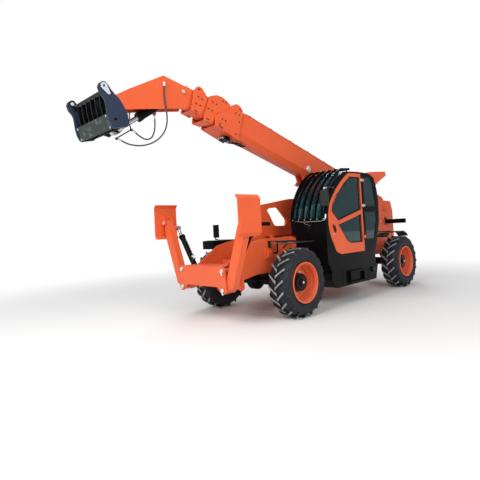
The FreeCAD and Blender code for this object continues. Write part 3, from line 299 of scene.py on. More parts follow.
# Shapes are drawn in a bmesh. A place is a matrix whose third axis points out of the surface.
def facing(spot, out, axes=MACHINE, up=UP):
    """A place on the machine with its third axis outward and its second one upward."""
    third = Vector(out).normalized()
    first = Vector(up).cross(third).normalized()
    return axes @ Matrix.Translation(spot) @ Matrix((first, third.cross(first), third)).transposed().to_4x4()


def above(spot, axes=MACHINE):
    """A place that looks up, with its second axis ahead."""
    return facing(spot, UP, axes, AHEAD)


def shifted(place, x, y, z):
    """A place moved along its own axes."""
    return place @ Matrix.Translation((x, y, z))


def turns(place, count, first=0.0):
    """A place turned about its third axis to each of this many equal steps."""
    return [place @ Matrix.Rotation(2 * pi * (k + first) / count, 4, "Z") for k in range(count)]


def oblong(x0, x1, y0, y1):
    """Outline of a rectangle."""
    return [(x0, y0), (x1, y0), (x1, y1), (x0, y1)]


def rounded(half_w, half_h, corner, count=5):
    """Outline of a rectangle with rounded corners."""
    points = []
    for cx, cy, start in ((half_w - corner, half_h - corner, 0), (corner - half_w, half_h - corner, 90),
                          (corner - half_w, corner - half_h, 180), (half_w - corner, corner - half_h, 270)):
        for k in range(count + 1):
            angle = radians(start + 90 * k / count)
            points.append((cx + corner * cos(angle), cy + corner * sin(angle)))
    return points


def stud(radius, wall, top, height):
    """Profile of a round head with a chamfer."""
    return [(0, 0), (radius, 0), (radius, wall), (top, height), (0, height)]


def walls(shape, rings, slot=0):
    """Joins rings of vertices, one after the other; a ring of one vertex closes them to a point."""
    for one, two in zip(rings, rings[1:]):
        count = max(len(one), len(two))
        for k in range(count):
            after = (k + 1) % count
            corners = [one[k % len(one)], one[after % len(one)], two[after % len(two)], two[k % len(two)]]
            corners = list(dict.fromkeys(corners))
            if len(corners) > 2:
                shape.faces.new(corners).material_index = slot


def hoop(shape, spot, side, other, radius, sides):
    """A ring of vertices round a spot, across two directions."""
    return [shape.verts.new(spot + (side * cos(2 * pi * k / sides) + other * sin(2 * pi * k / sides)) * radius)
            for k in range(sides)]


def lathe(shape, profile, place, sides=48, slot=0):
    """Adds a turned part: radius and height of each ring along the third axis of its place."""
    rings = []
    for radius, height in profile:
        count = 1 if radius < 1e-6 else sides
        rings.append([shape.verts.new(place @ Vector((radius * cos(2 * pi * k / sides),
                                                      radius * sin(2 * pi * k / sides), height)))
                      for k in range(count)])
    walls(shape, rings, slot)


def plate(shape, outline, thick, place, slot=0):
    """Adds a flat plate: its outline across and its thickness along the third axis of its place."""
    low = [shape.verts.new(place @ Vector((x, y, 0))) for x, y in outline]
    high = [shape.verts.new(place @ Vector((x, y, thick))) for x, y in outline]
    for end in (low[::-1], high):
        shape.faces.new(end).material_index = slot
    walls(shape, [low, high], slot)


def bent_rod(shape, corners, radius, bend, sides=12, slot=0, axes=MACHINE):
    """Adds a round bar, pipe or bead that is bent at its corners."""
    corners = [axes @ Vector(corner) for corner in corners]
    path = [corners[0]]
    for before, here, after in zip(corners, corners[1:], corners[2:]):
        first = here + (before - here).normalized() * bend
        last = here + (after - here).normalized() * bend
        path += [first * (1 - t) ** 2 + here * 2 * t * (1 - t) + last * t ** 2 for t in (0, 0.2, 0.4, 0.6, 0.8, 1)]
    path.append(corners[-1])
    side = (path[1] - path[0]).orthogonal().normalized()
    rings = []
    for i, spot in enumerate(path):
        way = (path[min(i + 1, len(path) - 1)] - path[max(i - 1, 0)]).normalized()
        side = (side - way * side.dot(way)).normalized()
        rings.append(hoop(shape, spot, side, way.cross(side), radius, sides))
    for end in (rings[0][::-1], rings[-1]):
        shape.faces.new(end).material_index = slot
    walls(shape, rings, slot)


def bolt(shape, place, thread, slot=0):
    """Adds a hexagon head on its washer, sized by the thread."""
    lathe(shape, [(0, 0), (thread * 1.1, 0), (thread * 1.1, thread * 0.16), (0, thread * 0.16)], place, 20, slot)
    lathe(shape, [(thread * 0.92, thread * 0.1), (thread * 0.92, thread * 0.7), (thread * 0.76, thread * 0.82),
                  (0, thread * 0.82)], place, 6, slot)


def piece_of(name, shape, body, materials, edge=0.0, replaced=()):
    """Makes a piece from this shape: its materials, its eased edges and the body that it rides on."""
    mesh = bpy.data.meshes.new(name)
    bmesh.ops.remove_doubles(shape, verts=shape.verts, dist=1e-6)
    bmesh.ops.recalc_face_normals(shape, faces=shape.faces)
    shape.to_mesh(mesh)
    shape.free()
    for material in materials:
        mesh.materials.append(material)
    mesh.shade_smooth()
    mesh.set_sharp_from_angle(angle=radians(32))
    piece = shown(name, mesh)
    if edge:
        ease = piece.modifiers.new("eased_edges", "BEVEL")
        ease.width = edge
        ease.segments = 2
        ease.limit_method = "ANGLE"
        ease.angle_limit = radians(40)
        ease.harden_normals = True
    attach(piece, body)
    if replaced:
        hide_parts(*replaced)
    return piece


# Hose unions: zinc-plated steel, a hexagon on each gland and a crimped ferrule round each hose end.
FERRULE = [(0.0155, 0.006), (0.0155, 0.018), (0.0140, 0.020), (0.0155, 0.022), (0.0155, 0.034), (0.0140, 0.036),
           (0.0155, 0.038), (0.0155, 0.052), (0.0118, 0.056)]
shape = bmesh.new()
for name, route, length, node in HOSES:
    for spot, toward in ((route[0], route[1]), (route[-1], route[-2])):
        place = facing(spot, Vector(toward) - Vector(spot), up=(0, 1, 0.01))
        lathe(shape, [(0.0, -0.012), (0.019, -0.012), (0.019, 0.008), (0.0155, 0.008)], place, 6)
        lathe(shape, FERRULE, place, 24)
piece_of("hose_unions", shape, "boom_section_4", [zinc])


# Tyres: vulcanised natural rubber with carbon black. The carcass bulges between its beads, with moulded rings on
# the wall, and 38 bars stand on it in two rows; their tops are scuffed to a pale dusty grey.
def rubber_of(name, colour, shade, grit):
    """Moulded rubber: cloudy black, matt, with a fine grain 3 mm across."""
    material, tree, at = fresh(name)
    cloud = stretch(tree, noise(tree, at, 9.0, 7.0, 0.65), 0.35, 0.68)
    finish(tree, "BsdfPrincipled", {"Base Color": tones(tree, cloud, colour, shade), "Roughness": 0.6,
                                    "Specular IOR Level": 0.35,
                                    "Normal": relief(tree, noise(tree, at, 330.0, 2.0), grit)})
    return material


rubber = rubber_of("carbon_black_rubber", "13151A", "1F2229", 0.25)
scuffed = rubber_of("scuffed_rubber", "7B7B79", "A5A4A0", 0.5)
TYRE_R, CARCASS_R, BEAD_R = 0.565, 0.535, 0.326
# radius and distance from the middle plane, from the outer bead to the widest point and on over the crown
WALL_LOW = [(BEAD_R, 0.148), (0.345, 0.160), (0.352, 0.167), (0.360, 0.166), (0.372, 0.176), (0.380, 0.176),
            (0.392, 0.181), (0.415, 0.187)]
WALL_HIGH = [(0.440, 0.190), (0.462, 0.188), (0.484, 0.180), (0.505, 0.165), (0.520, 0.140), (0.530, 0.105),
             (0.534, 0.055), (CARCASS_R, 0.0)]
WALL = WALL_LOW + WALL_HIGH
BAR_COUNT, BAR_STEPS, BAR_LEAN = 38, 10, radians(40)
FLAT_STEPS = 8  # past the shoulder the bars never touch the ground and stay black


def bar_height(y):
    """Radius of a bar's top at this distance from the middle plane, which drops past the shoulder."""
    shoulder, crown_drop = 0.130, 0.0015
    if y <= shoulder:
        return TYRE_R - crown_drop * (y / shoulder) ** 2
    return TYRE_R - crown_drop - 0.068 * ((y - shoulder) / 0.058) ** 1.7


def carcass_height(y):
    """Radius of the carcass at this distance from the middle plane."""
    for (r0, y0), (r1, y1) in zip(WALL_HIGH, WALL_HIGH[1:]):
        if y1 <= y <= y0:
            return r0 + (r1 - r0) * (y0 - y) / (y0 - y1)
    return WALL_HIGH[0][0]


# name, X of the wheel, side that it is on
WHEELS = [(end + "_" + name, x, side) for end, x in (("front", AXLE_X), ("rear", -AXLE_X)) for name, side in SIDES]
for name, x, side in WHEELS:
    place = facing((x, 0.945 * side, TYRE_R), (0, side, 0))
    shape = bmesh.new()
    lathe(shape, WALL + [(r, -y) for r, y in reversed(WALL[:-1])], place, 120)
    for number in range(BAR_COUNT):
        row = 1 if number % 2 else -1
        begin = 2 * pi * number / BAR_COUNT + 0.1366
        rings = []
        for step in range(BAR_STEPS + 1):
            y = -0.010 + 0.196 * step / BAR_STEPS
            half_top = 0.0155 + 0.0055 * max(0, 1 - step / 2)
            half_foot = half_top + 0.006
            low = carcass_height(abs(y)) - 0.004
            top = max(bar_height(abs(y)), low + 0.002)
            ring = []
            for offset, radius in ((-half_foot, low), (-half_top - 0.002, top - 0.004), (-half_top + 0.001, top),
                                   (half_top - 0.001, top), (half_top + 0.002, top - 0.004), (half_foot, low)):
                ahead = (begin - y * tan(BAR_LEAN) / TYRE_R + offset / TYRE_R / cos(BAR_LEAN))
                spot = Vector((-sin(ahead * side) * radius, cos(ahead) * radius, y * row))
                ring.append(shape.verts.new(place @ spot))
            rings.append(ring)
        for step, (one, two) in enumerate(zip(rings, rings[1:])):
            for k in range(5):
                face = shape.faces.new((one[k], one[k + 1], two[k + 1], two[k]))
                face.material_index = int(k == 2 and step < FLAT_STEPS)
        for end in (rings[0], rings[-1]):
            shape.faces.new(end)
    piece_of("lug_tyre_" + name, shape, "wheel_" + name, [rubber, scuffed], replaced=["tyre_" + name])


# Wheels: a steel rim rolled in steps and sprayed orange, deep inside which the black cast hub of the planetary
# drive stands out of the disc, with its ring of bolts and a bright oil plug. Ten nuts hold the rim to it.
cast = sprayed_enamel("black_cast_hub", "050608", "0B0C0F", 0.22, 0.0, 0.25)
RIM = [(0.3257, -0.153), (0.334, -0.161), (0.334, -0.173), (0.306, -0.173), (0.292, -0.135), (0.292, -0.047),
       (0.124, -0.057), (0.124, -0.039), (0.262, -0.024), (0.2657, -0.019), (0.2685, 0.025), (0.2725, 0.029),
       (0.2795, 0.030), (0.2827, 0.070), (0.2860, 0.074), (0.2927, 0.075), (0.2955, 0.143), (0.2990, 0.147),
       (0.3037, 0.150), (0.3060, 0.176), (0.309, 0.180), (0.330, 0.180), (0.334, 0.177), (0.334, 0.168),
       (0.3257, 0.157), (0.3257, -0.153)]
DRUM = [(0.0, -0.060), (0.130, -0.060), (0.130, -0.036), (0.152, -0.033), (0.152, -0.022), (0.146, -0.018),
        (0.143, 0.010), (0.1415, 0.014), (0.1415, 0.058), (0.143, 0.062), (0.143, 0.082), (0.139, 0.088),
        (0.120, 0.094), (0.085, 0.097), (0.066, 0.098), (0.064, 0.116), (0.058, 0.124), (0.022, 0.125)]
VALVE = [(0.0, 0), (0.006, 0), (0.006, 0.012), (0.004, 0.014), (0.004, 0.026), (0, 0.027)]
for name, x, side in WHEELS:
    place = facing((x, 0.945 * side, TYRE_R), (0, side, 0))
    shape = bmesh.new()
    lathe(shape, RIM, place, 120)
    lathe(shape, VALVE, shifted(place, 0, 0.300, 0.150), 12, 1)
    piece_of("wheel_rim_" + name, shape, "wheel_" + name, [orange, black], replaced=["rim_" + name])
    shape = bmesh.new()
    lathe(shape, DRUM, place, 96)
    lathe(shape, [(0.0, 0.124), (0.021, 0.124), (0.021, 0.128), (0, 0.128)], place, 24, 1)
    for ring in turns(place, 12):
        bolt(shape, shifted(ring, 0.104, 0, 0.0935), 0.011)
    for ring in turns(place, 10, 0.5):
        bolt(shape, shifted(ring, 0.190, 0, -0.032), 0.018, 1)
    for ring in turns(place, 8):
        plate(shape, [(0.141, -0.006), (0.1455, -0.004), (0.1455, 0.004), (0.141, 0.006)], 0.040,
              shifted(ring, 0, 0, 0.016))
    piece_of("drive_hub_" + name, shape, "wheel_" + name, [cast, zinc], edge=0.001)


# Steering knuckles: cast arms over the axle's ends, with a bolted cap on each kingpin and a grease nipple.
for name, x, side in WHEELS:
    shape = bmesh.new()
    for way in (1, -1):
        cap = facing((x, 0.720 * side, TYRE_R + 0.1505 * way), (0, 0, way), up=AHEAD)
        lathe(shape, [(0.0, -0.002), (0.048, -0.002), (0.048, 0.008), (0.040, 0.012), (0.0, 0.013)], cap, 32)
        for ring in turns(cap, 4, 0.5):
            bolt(shape, shifted(ring, 0.037, 0, 0.008), 0.010, 1)
        lathe(shape, [(0.005, 0.012), (0.005, 0.018), (0.003, 0.020), (0.003, 0.026), (0, 0.027)], cap, 10, 1)
    piece_of("kingpin_caps_" + name, shape, "knuckle_" + name, [black, zinc], edge=0.001)


# Frame and front beam: flame-cut steel plate, welded, with a bead along every seam that shows. A folded bracket
# for lifting stands on each side plate, with a black oblong of painted shade between its fins, and a bent black
# bar in front of each wheel carries the cover.
def weld(shape, corners, radius, axes=MACHINE):
    """Adds a weld bead along straight seams, with the welder's ripples drawn 14 mm apart."""
    for begin, end in zip(corners, corners[1:]):
        begin, end = axes @ Vector(begin), axes @ Vector(end)
        count = max(2, int((end - begin).length / 0.014))
        way = (end - begin).normalized()
        side = way.orthogonal().normalized()
        walls(shape, [hoop(shape, begin.lerp(end, k / count), side, way.cross(side),
                           radius * (1.0 if k % 2 else 0.82), 6) for k in range(count + 1)])


def weld_both(shape, seams, axes=MACHINE):
    """Adds beads on both sides: each seam gives its radius and its points on the left."""
    for side in (1, -1):
        for radius, *points in seams:
            weld(shape, [(x, y * side, z) for x, y, z in points], radius, axes)


shape = bmesh.new()
weld_both(shape, [(0.006, (2.699, 0.361, 0.640), (2.699, 0.361, 0.925)),
                  (0.006, (2.860, 0.421, 0.926), (3.074, 0.421, 0.926)),
                  (0.006, (2.724, 0.421, 0.640), (2.724, 0.421, 0.920)),
                  (0.005, (2.724, 0.380, 0.926), (2.724, 0.530, 0.926)),
                  (0.006, (3.075, 0.421, 0.640), (3.075, 0.421, 0.920)),
                  (0.005, (3.075, 0.380, 0.926), (3.075, 0.530, 0.926)),
                  (0.006, (-2.800, 0.361, 0.560), (-2.800, 0.361, 1.230)),
                  (0.006, (1.300, 0.334, 0.495), (1.300, 0.334, 0.895)),
                  (0.006, (2.300, 0.334, 0.725), (2.300, 0.334, 0.955))])
for x in (2.716, 3.084):
    weld(shape, [(x, -0.400, 0.616), (x, 0.400, 0.616)], 0.005)
piece_of("frame_welds", shape, "chassis", [orange])

for name, side in SIDES:
    shape = bmesh.new()
    plate(shape, [(-0.060, -0.095), (0.055, -0.095), (0.075, -0.070), (0.075, 0.060), (0.050, 0.095),
                  (-0.045, 0.095), (-0.080, 0.060), (-0.080, -0.070)], 0.022,
          facing((1.890, 0.358 * side, 1.030), (0, side, 0)))
    for x in (1.854, 1.914):
        plate(shape, [(-0.075, 0.0), (0.075, 0.0), (0.045, 0.048), (-0.045, 0.048)], 0.012,
              facing((x, 0.378 * side, 1.030), AHEAD, up=(0, side, 0)))
    # The black oblong between the bracket's two fins, 1 mm proud of its face, is painted shade.
    plate(shape, [(-0.012, -0.045), (0.012, -0.045), (0.018, -0.036), (0.018, 0.036), (0.012, 0.045),
                  (-0.012, 0.045), (-0.018, 0.036), (-0.018, -0.036)], 0.001,
          facing((1.890, 0.3795 * side, 1.040), (0, side, 0)), 1)
    piece_of("lifting_bracket_" + name, shape, "chassis", [orange, black], edge=0.003)
    shape = bmesh.new()
    for points, radius, bend, sides in (
            ([(1.715, 0.350, 1.030), (1.715, 0.440, 1.030), (1.715, 0.440, 1.225), (1.370, 0.440, 1.222),
              (1.370, 0.700, 1.208)], 0.014, 0.045, 14),
            ([(1.470, 0.350, 1.100), (1.470, 0.440, 1.150), (1.440, 0.440, 1.185), (1.250, 0.440, 1.175)],
             0.010, 0.025, 12)):
        bent_rod(shape, [(x, y * side, z) for x, y, z in points], radius, bend, sides)
    piece_of("cover_bar_" + name, shape, "chassis", [black])


def outward(spot, side, axes=MACHINE):
    """A place that looks outward: its spot as on the left, mirrored to this side."""
    x, y, z = spot
    return facing((x, y * side, z), (0, side, 0), axes)


# Pin heads: each pin's end has a zinc-plated round head and a keeper plate that one bolt holds to the cheek.
def pin_head(shape, place, radius, keeper):
    """Adds a chamfered pin head with a centre drilling, and its keeper plate."""
    lathe(shape, [(0, 0), (radius, 0), (radius, 0.006), (radius - 0.003, 0.009), (0.006, 0.009), (0.0, 0.004)],
          place, 36)
    if keeper:
        drop = -radius * 0.7
        plate(shape, oblong(-radius * 0.55, radius + 0.030, -0.013, 0.013), 0.008, shifted(place, 0, drop, 0.002))
        bolt(shape, shifted(place, radius + 0.014, drop, 0.010), 0.010)


# Y and Z of the left stabiliser's pins: the arm's and the cylinder's on the beam, and the foot's on the arm
ARM_PIN, CYLINDER_PIN, FOOT_PIN = (0.506, 0.572), (0.506, 0.863), (0.987, 1.660)
shape = bmesh.new()
for side in (1, -1):
    for y, z in (ARM_PIN, CYLINDER_PIN):
        front = facing((3.111, y * side, z), AHEAD)
        pin_head(shape, front @ Matrix.Rotation(radians(-55 * side), 4, "Z"), 0.034, True)
        pin_head(shape, facing((2.689, y * side, z), ASTERN), 0.034, True)
    pin_head(shape, outward((-2.245, 0.361, 1.476), side), 0.034, False)
piece_of("frame_pin_heads", shape, "chassis", [zinc], edge=0.001)
shape = bmesh.new()
for side in (1, -1):
    pin_head(shape, outward((BOOM_PIN[0], 0.389, BOOM_PIN[2]), side), 0.050, True)
piece_of("boom_pivot_heads", shape, "chassis", [orange], edge=0.001)
for name, side in SIDES:
    shape = bmesh.new()
    for x, out in ((3.096, AHEAD), (2.904, ASTERN)):
        pin_head(shape, facing((x, FOOT_PIN[0] * side, FOOT_PIN[1]), out), 0.030, False)
    piece_of("foot_pin_heads_" + name, shape, "stabiliser_arm_" + name, [zinc], edge=0.001)


# Stabilisers: folded steel arms with a bead down each corner. Two steel pipes run up each black cylinder to its
# ports, and a stepped gland closes it.
ARM_LEAN = radians(20)


def arm_point(side, along, out, x):
    """A point of the leaning arm: along it and outward from its pin on the beam."""
    c, s = cos(ARM_LEAN), sin(ARM_LEAN)
    return x, side * (ARM_PIN[0] + along * s + out * c), ARM_PIN[1] + along * c - out * s


for name, side in SIDES:
    shape = bmesh.new()
    for x in (2.941, 3.059):
        for begin, end, out in ((0.190, 1.020, 0.001), (0.130, 0.990, 0.159)):
            weld(shape, [arm_point(side, begin, out, x), arm_point(side, end, out, x)], 0.004)
    piece_of("arm_welds_" + name, shape, "stabiliser_arm_" + name, [orange])
    base = Vector((2.805, CYLINDER_PIN[0] * side, CYLINDER_PIN[1]))
    way = (Vector((2.805, 0.960 * side, 1.560)) - base).normalized()
    out = Vector((0, side * way.z, -side * way.y))
    shape = bmesh.new()
    for x, port in ((-0.018, 0.520), (0.018, 0.200)):
        foot, top = [base + Vector((x, 0, 0)) + way * along for along in (0.140, port)]
        bent_rod(shape, [foot - out * 0.045, foot - out * 0.072, top - out * 0.072, top - out * 0.045],
                 0.008, 0.012, 10, 1)
        lathe(shape, [(0, 0.040), (0.014, 0.040), (0.014, 0.058), (0.010, 0.060), (0.010, 0.068), (0, 0.068)],
              facing(top, -out, up=AHEAD), 6, 1)
    lathe(shape, [(0.056, -0.014), (0.0585, -0.012), (0.0585, 0.016), (0.056, 0.030), (0.040, 0.030),
                  (0.034, 0.034), (0.0275, 0.034)], facing(base + way * 0.632, way, up=AHEAD), 40)
    piece_of("stabiliser_pipes_" + name, shape, "stabiliser_barrel_" + name, [black, zinc])


# Boom: folded and welded box sections with bolted heads. Black socket screws hold the nylon runners, dark slots
# of painted shade show the openings at the runners' ends, and the main section carries a pipe in nine clips and a
# hose block under its head.
nylon, tree, at = fresh("cast_nylon")
finish(tree, "BsdfPrincipled", {"Base Color": tones(tree, noise(tree, at, 20.0, 4.0), "1C1D1F", "2A2B2C"),
                                "Roughness": 0.55})

# body, half width of the head's outer face, screws as X and Z on the level boom, slots as two ends
HEADS = [
    ("boom_main", 0.190, [(5.094, 0.241), (5.004, 0.240), (5.357, 0.007), (5.282, 0.005), (5.390, -0.096),
                          (5.010, -0.120), (4.980, 0.120)],
     [((5.395, -0.128), (5.313, -0.142)), ((5.022, 0.351), (4.961, 0.338))]),
    ("boom_section_2", 0.160, [(5.591, 0.214), (5.505, 0.215), (5.656, 0.066), (5.574, 0.065), (5.390, 0.327),
                               (5.319, 0.340)], [((5.600, -0.112), (5.650, -0.112))]),
    ("boom_section_3", 0.136, [(5.870, 0.176), (5.790, 0.171), (5.887, 0.047), (5.805, 0.052)],
     [((5.886, -0.071), (5.842, -0.077)), ((5.900, 0.300), (5.862, 0.312))]),
]
SCREW = [(0.0, -0.001), (0.0125, -0.001), (0.0125, 0.008), (0.011, 0.010), (0.006, 0.010), (0.006, 0.003),
         (0.0, 0.003)]
SLOT_R = 0.010
for body, half, screws, slots in HEADS:
    shape = bmesh.new()
    for side in (1, -1):
        for x, z in screws:
            lathe(shape, SCREW, outward((x, half, z), side, BOOM), 24)
        # Each slot is a flat dark plate 1.5 mm proud of the head: painted shade where the head is open.
        for (x0, z0), (x1, z1) in slots:
            place = outward(((x0 + x1) / 2, half, (z0 + z1) / 2), side, BOOM)
            span = hypot(x1 - x0, z1 - z0) / 2
            outline = [((span if cos(a) > 0 else -span) + SLOT_R * cos(a), SLOT_R * sin(a))
                       for a in [radians(15 + 30 * k) for k in range(12)]]
            plate(shape, outline, 0.0015, place @ Matrix.Rotation(-side * atan2(z1 - z0, x1 - x0), 4, "Z"))
    piece_of("head_screws_" + body, shape, body, [nylon])

# piece, body, its axes, and the seams of one half: bead radius and points
SEAMS = [
    ("boom_main_welds", "boom_main", BOOM,
     [(0.004, (-0.150, 0.171, -0.052), (4.860, 0.171, -0.052)),
      (0.005, (4.926, 0.171, 0.244), (4.942, 0.171, -0.050)),
      (0.006, (2.565, 0.092, -0.144), (3.000, 0.092, -0.144))]),
    ("boom_section_2_welds", "boom_section_2", BOOM, [(0.004, (5.188, 0.1475, 0.262), (5.483, 0.1475, 0.047))]),
    ("neck_welds", "boom_section_4", MACHINE,
     [(0.004, (3.712, 0.0965, 3.852), (4.298, 0.0965, 3.537), (4.600, 0.0965, 3.357)),
      (0.004, (3.262, 0.0965, 3.752), (3.712, 0.0965, 3.852)),
      (0.003, (3.305, 0.1175, 3.421), (4.383, 0.1175, 3.234))]),
]
for name, body, axes, seams in SEAMS:
    shape = bmesh.new()
    weld_both(shape, seams, axes)
    piece_of(name, shape, body, [orange])

shape = bmesh.new()
for side in (1, -1):
    pin_head(shape, outward((3.365, 0.129, 3.670), side), 0.029, False)
piece_of("neck_pin_heads", shape, "boom_section_4", [zinc], edge=0.001)
shape = bmesh.new()
for side in (1, -1):
    place = outward((2.914, 0.170, 0.006), side, BOOM)
    lathe(shape, [(0, 0), (0.066, 0), (0.066, 0.008), (0.060, 0.012), (0.046, 0.012), (0.044, 0.020), (0.0, 0.022)],
          place, 40)
    for ring in turns(place, 3):
        bolt(shape, shifted(ring, 0.053, 0, 0.011), 0.007)
    pin_head(shape, outward((2.8717, 0.1105, -0.284), side, BOOM), 0.048, True)
piece_of("boom_pin_heads", shape, "boom_main", [zinc], edge=0.001)

shape = bmesh.new()
bent_rod(shape, [(-0.200, 0.160, 0.344), (4.835, 0.160, 0.344)], 0.010, 0.01, axes=BOOM)
for k in range(9):
    plate(shape, oblong(-0.016, 0.016, -0.018, 0.018), 0.014, above((0.1 + 0.58 * k, 0.160, 0.341), BOOM))
for x, thick, outline in ((5.050, 0.100, oblong(-0.075, 0.105, -0.248, -0.190)),
                          (5.070, 0.050, oblong(0.105, 0.125, -0.240, -0.198))):
    plate(shape, outline, thick, facing((x, 0, 0), AHEAD, BOOM))
for k, y in enumerate((-0.050, 0.0, 0.050)):
    bent_rod(shape, [(5.052, y, -0.218), (4.960 - 0.01 * k, y, -0.220), (4.840, y * 0.9, -0.180),
                     (4.620, y * 0.8, -0.166)], 0.008, 0.05, axes=BOOM)
    lathe(shape, [(0, 0), (0.015, 0), (0.015, 0.018), (0.011, 0.020), (0.011, 0.036), (0, 0.036)],
          facing((5.150, y, -0.219), AHEAD, BOOM), 6, 1)
piece_of("boom_hose_block", shape, "boom_main", [black, zinc], edge=0.002)


# Coupler: two drop-shaped cheeks in slate blue, ribs and a tube between them, and a riveted wear plate low on its
# face. Each cheek carries a zinc keeper, and each pin has a bright head.
wear, tree, at = fresh("scuffed_wear_plate")
scuff = noise(tree, at, 11.0, 8.0, 0.7)
finish(tree, "BsdfPrincipled", {"Base Color": tones(tree, stretch(tree, scuff, 0.52, 0.7), "2B312D", "77857B"),
                                "Metallic": 0.35, "Roughness": stretch(tree, scuff, 0.0, 1.0, 0.25, 0.6)})
shape = bmesh.new()
plate(shape, oblong(-0.448, 0.448, -0.096, 0.096), 0.006, facing((0.215, 0, -0.248), AHEAD, COUPLER))
for y in (-0.420, 0.420):
    for z in (-0.322, -0.174):
        lathe(shape, [(0, 0), (0.013, 0), (0.012, 0.004), (0, 0.005)], facing((0.221, y, z), AHEAD, COUPLER), 20, 1)
piece_of("coupler_wear_plate", shape, "coupler", [wear, zinc], edge=0.002)

keeper = []
for (x, z), radius, first, last in (((0.138, 0.176), 0.046, -28, 200), ((0.108, 0.086), 0.024, 205, 330)):
    for k in range(9):
        angle = radians(first + (last - first) * k / 8)
        keeper.append((x + radius * cos(angle), z + radius * sin(angle)))
shape = bmesh.new()
for side in (1, -1):
    cheek = outward((0, 0.490, 0), side, COUPLER)
    plate(shape, [(-x * side, z) for x, z in keeper], 0.008, cheek)
    lathe(shape, [(0, 0.006), (0.016, 0.006), (0.016, 0.014), (0, 0.016)],
          shifted(cheek, -0.142 * side, 0.180, 0), 6, 1)
    lathe(shape, [(0.023, -0.010), (0.023, 0.003), (0.034, 0.003), (0.034, 0.0)],
          shifted(cheek, -0.142 * side, -0.245, 0), 32, 1)
    lathe(shape, stud(0.024, 0.006, 0.020, 0.009), facing((0.143, 0.448 * side, 0.180), (0, -side, 0), COUPLER), 28)
    lathe(shape, stud(0.034, 0.006, 0.030, 0.009), outward((-0.063, 0.160, -0.353), side, COUPLER), 32)
    lathe(shape, stud(0.036, 0.006, 0.032, 0.009), outward((0, 0.156, 0), side, COUPLER), 32)
piece_of("coupler_pin_heads", shape, "coupler", [zinc, nylon], edge=0.0015)


# Wheel covers: black polyethylene sheet, matt, finely pebbled and palely scuffed, with a rolled rim along each
# outer edge and two bolts over each axle.
plastic, tree, at = fresh("black_polyethylene")
scuff = stretch(tree, noise(tree, at, 6.0, 8.0, 0.7), 0.45, 0.75)
finish(tree, "BsdfPrincipled", {"Base Color": tones(tree, scuff, "0E0F11", "1A1B1C"), "Roughness": 0.55,
                                "Normal": relief(tree, cells(tree, at, 420.0), 0.2)})
finish_nodes(plastic, "mudguards", "cab_controls", "seat")
COVER_OUTER = 0.960
# name, X of the bolts, side view of the cover's under side, inner edge
COVERS = [("front", AXLE_X, [(2.085, 1.205), (1.345, 1.205)], 0.690),
          ("rear", -AXLE_X, [(-1.345, 1.130), (-1.445, 1.215), (-2.145, 1.225), (-2.275, 1.180), (-2.365, 1.110)],
           0.720)]
for name, middle, under, inner in COVERS:
    shape = bmesh.new()
    for side in (1, -1):
        rim = [(x, COVER_OUTER * side, z + 0.004) for x, z in under]
        bent_rod(shape, rim, 0.007, 0.030, 10)
        for x, y, z in (rim[0], rim[-1]):
            bent_rod(shape, [(x, inner * side, z), (x, y, z)], 0.006, 0.01, 10)
        for y in (0.012, 0.046):
            bolt(shape, above((middle, (inner + y) * side, 1.240)), 0.010, 1)
    piece_of("cover_rims_" + name, shape, "chassis", [plastic, zinc])


# Cab glass: toughened, tinted blue-green, 6 mm thick, seen through and mirroring the room at a slant.
tinted, tree, at = fresh("tinted_glass")
clear = add(tree, "BsdfTransparent", {}, {"Color": linear("DAEAE6")})
haze = add(tree, "BsdfDiffuse", {}, {"Color": linear("2A6A72")})
pane = add(tree, "MixShader", {}, {0: 0.16, 1: (clear, 0), 2: (haze, 0)})
smear = stretch(tree, noise(tree, at, 3.0, 6.0), 0.0, 1.0, 0.0, 0.06)
mirror = add(tree, "BsdfGlossy", {}, {"Color": linear("F4FAFA"), "Roughness": smear})
slant = add(tree, "Fresnel", {}, {"IOR": 1.45})
finish(tree, "MixShader", {0: (slant, 0), 1: (pane, 0), 2: (mirror, 0)})
finish_nodes(tinted, "cab_glass", "door_glass")


# Pane seals: extruded black EPDM, a flat band printed on each pane's edge and a round lip against the frame.
def arc_points(begin, middle, end, count):
    """Points of the circle through three points, from the first to the last."""
    (ax, az), (bx, bz), (cx, cz) = begin, middle, end
    d = 2 * (ax * (bz - cz) + bx * (cz - az) + cx * (az - bz))
    ux = ((ax * ax + az * az) * (bz - cz) + (bx * bx + bz * bz) * (cz - az) + (cx * cx + cz * cz) * (az - bz)) / d
    uz = ((ax * ax + az * az) * (cx - bx) + (bx * bx + bz * bz) * (ax - cx) + (cx * cx + cz * cz) * (bx - ax)) / d
    first, last = atan2(az - uz, ax - ux), atan2(cz - uz, cx - ux)
    turned = (last - first + pi) % (2 * pi) - pi
    radius = hypot(ax - ux, az - uz)
    return [(ux + radius * cos(first + turned * k / count), uz + radius * sin(first + turned * k / count))
            for k in range(count + 1)]


def drawn_in(outline, depth):
    """A closed outline moved inward by a depth."""
    area = sum(a[0] * b[1] - b[0] * a[1] for a, b in zip(outline, outline[1:] + outline[:1]))
    sign = 1 if area > 0 else -1
    result = []
    for before, here, after in zip(outline[-1:] + outline[:-1], outline, outline[1:] + outline[:1]):
        first = Vector((here[0] - before[0], here[1] - before[1])).normalized()
        second = Vector((after[0] - here[0], after[1] - here[1])).normalized()
        one, two = Vector((-first.y, first.x)) * sign, Vector((-second.y, second.x)) * sign
        way = (one + two).normalized()
        reach = depth / max(0.4, way.dot(one))
        result.append((here[0] + way.x * reach, here[1] + way.y * reach))
    return result


BAND_Y, BAND_THICK = 1.0363, 0.003


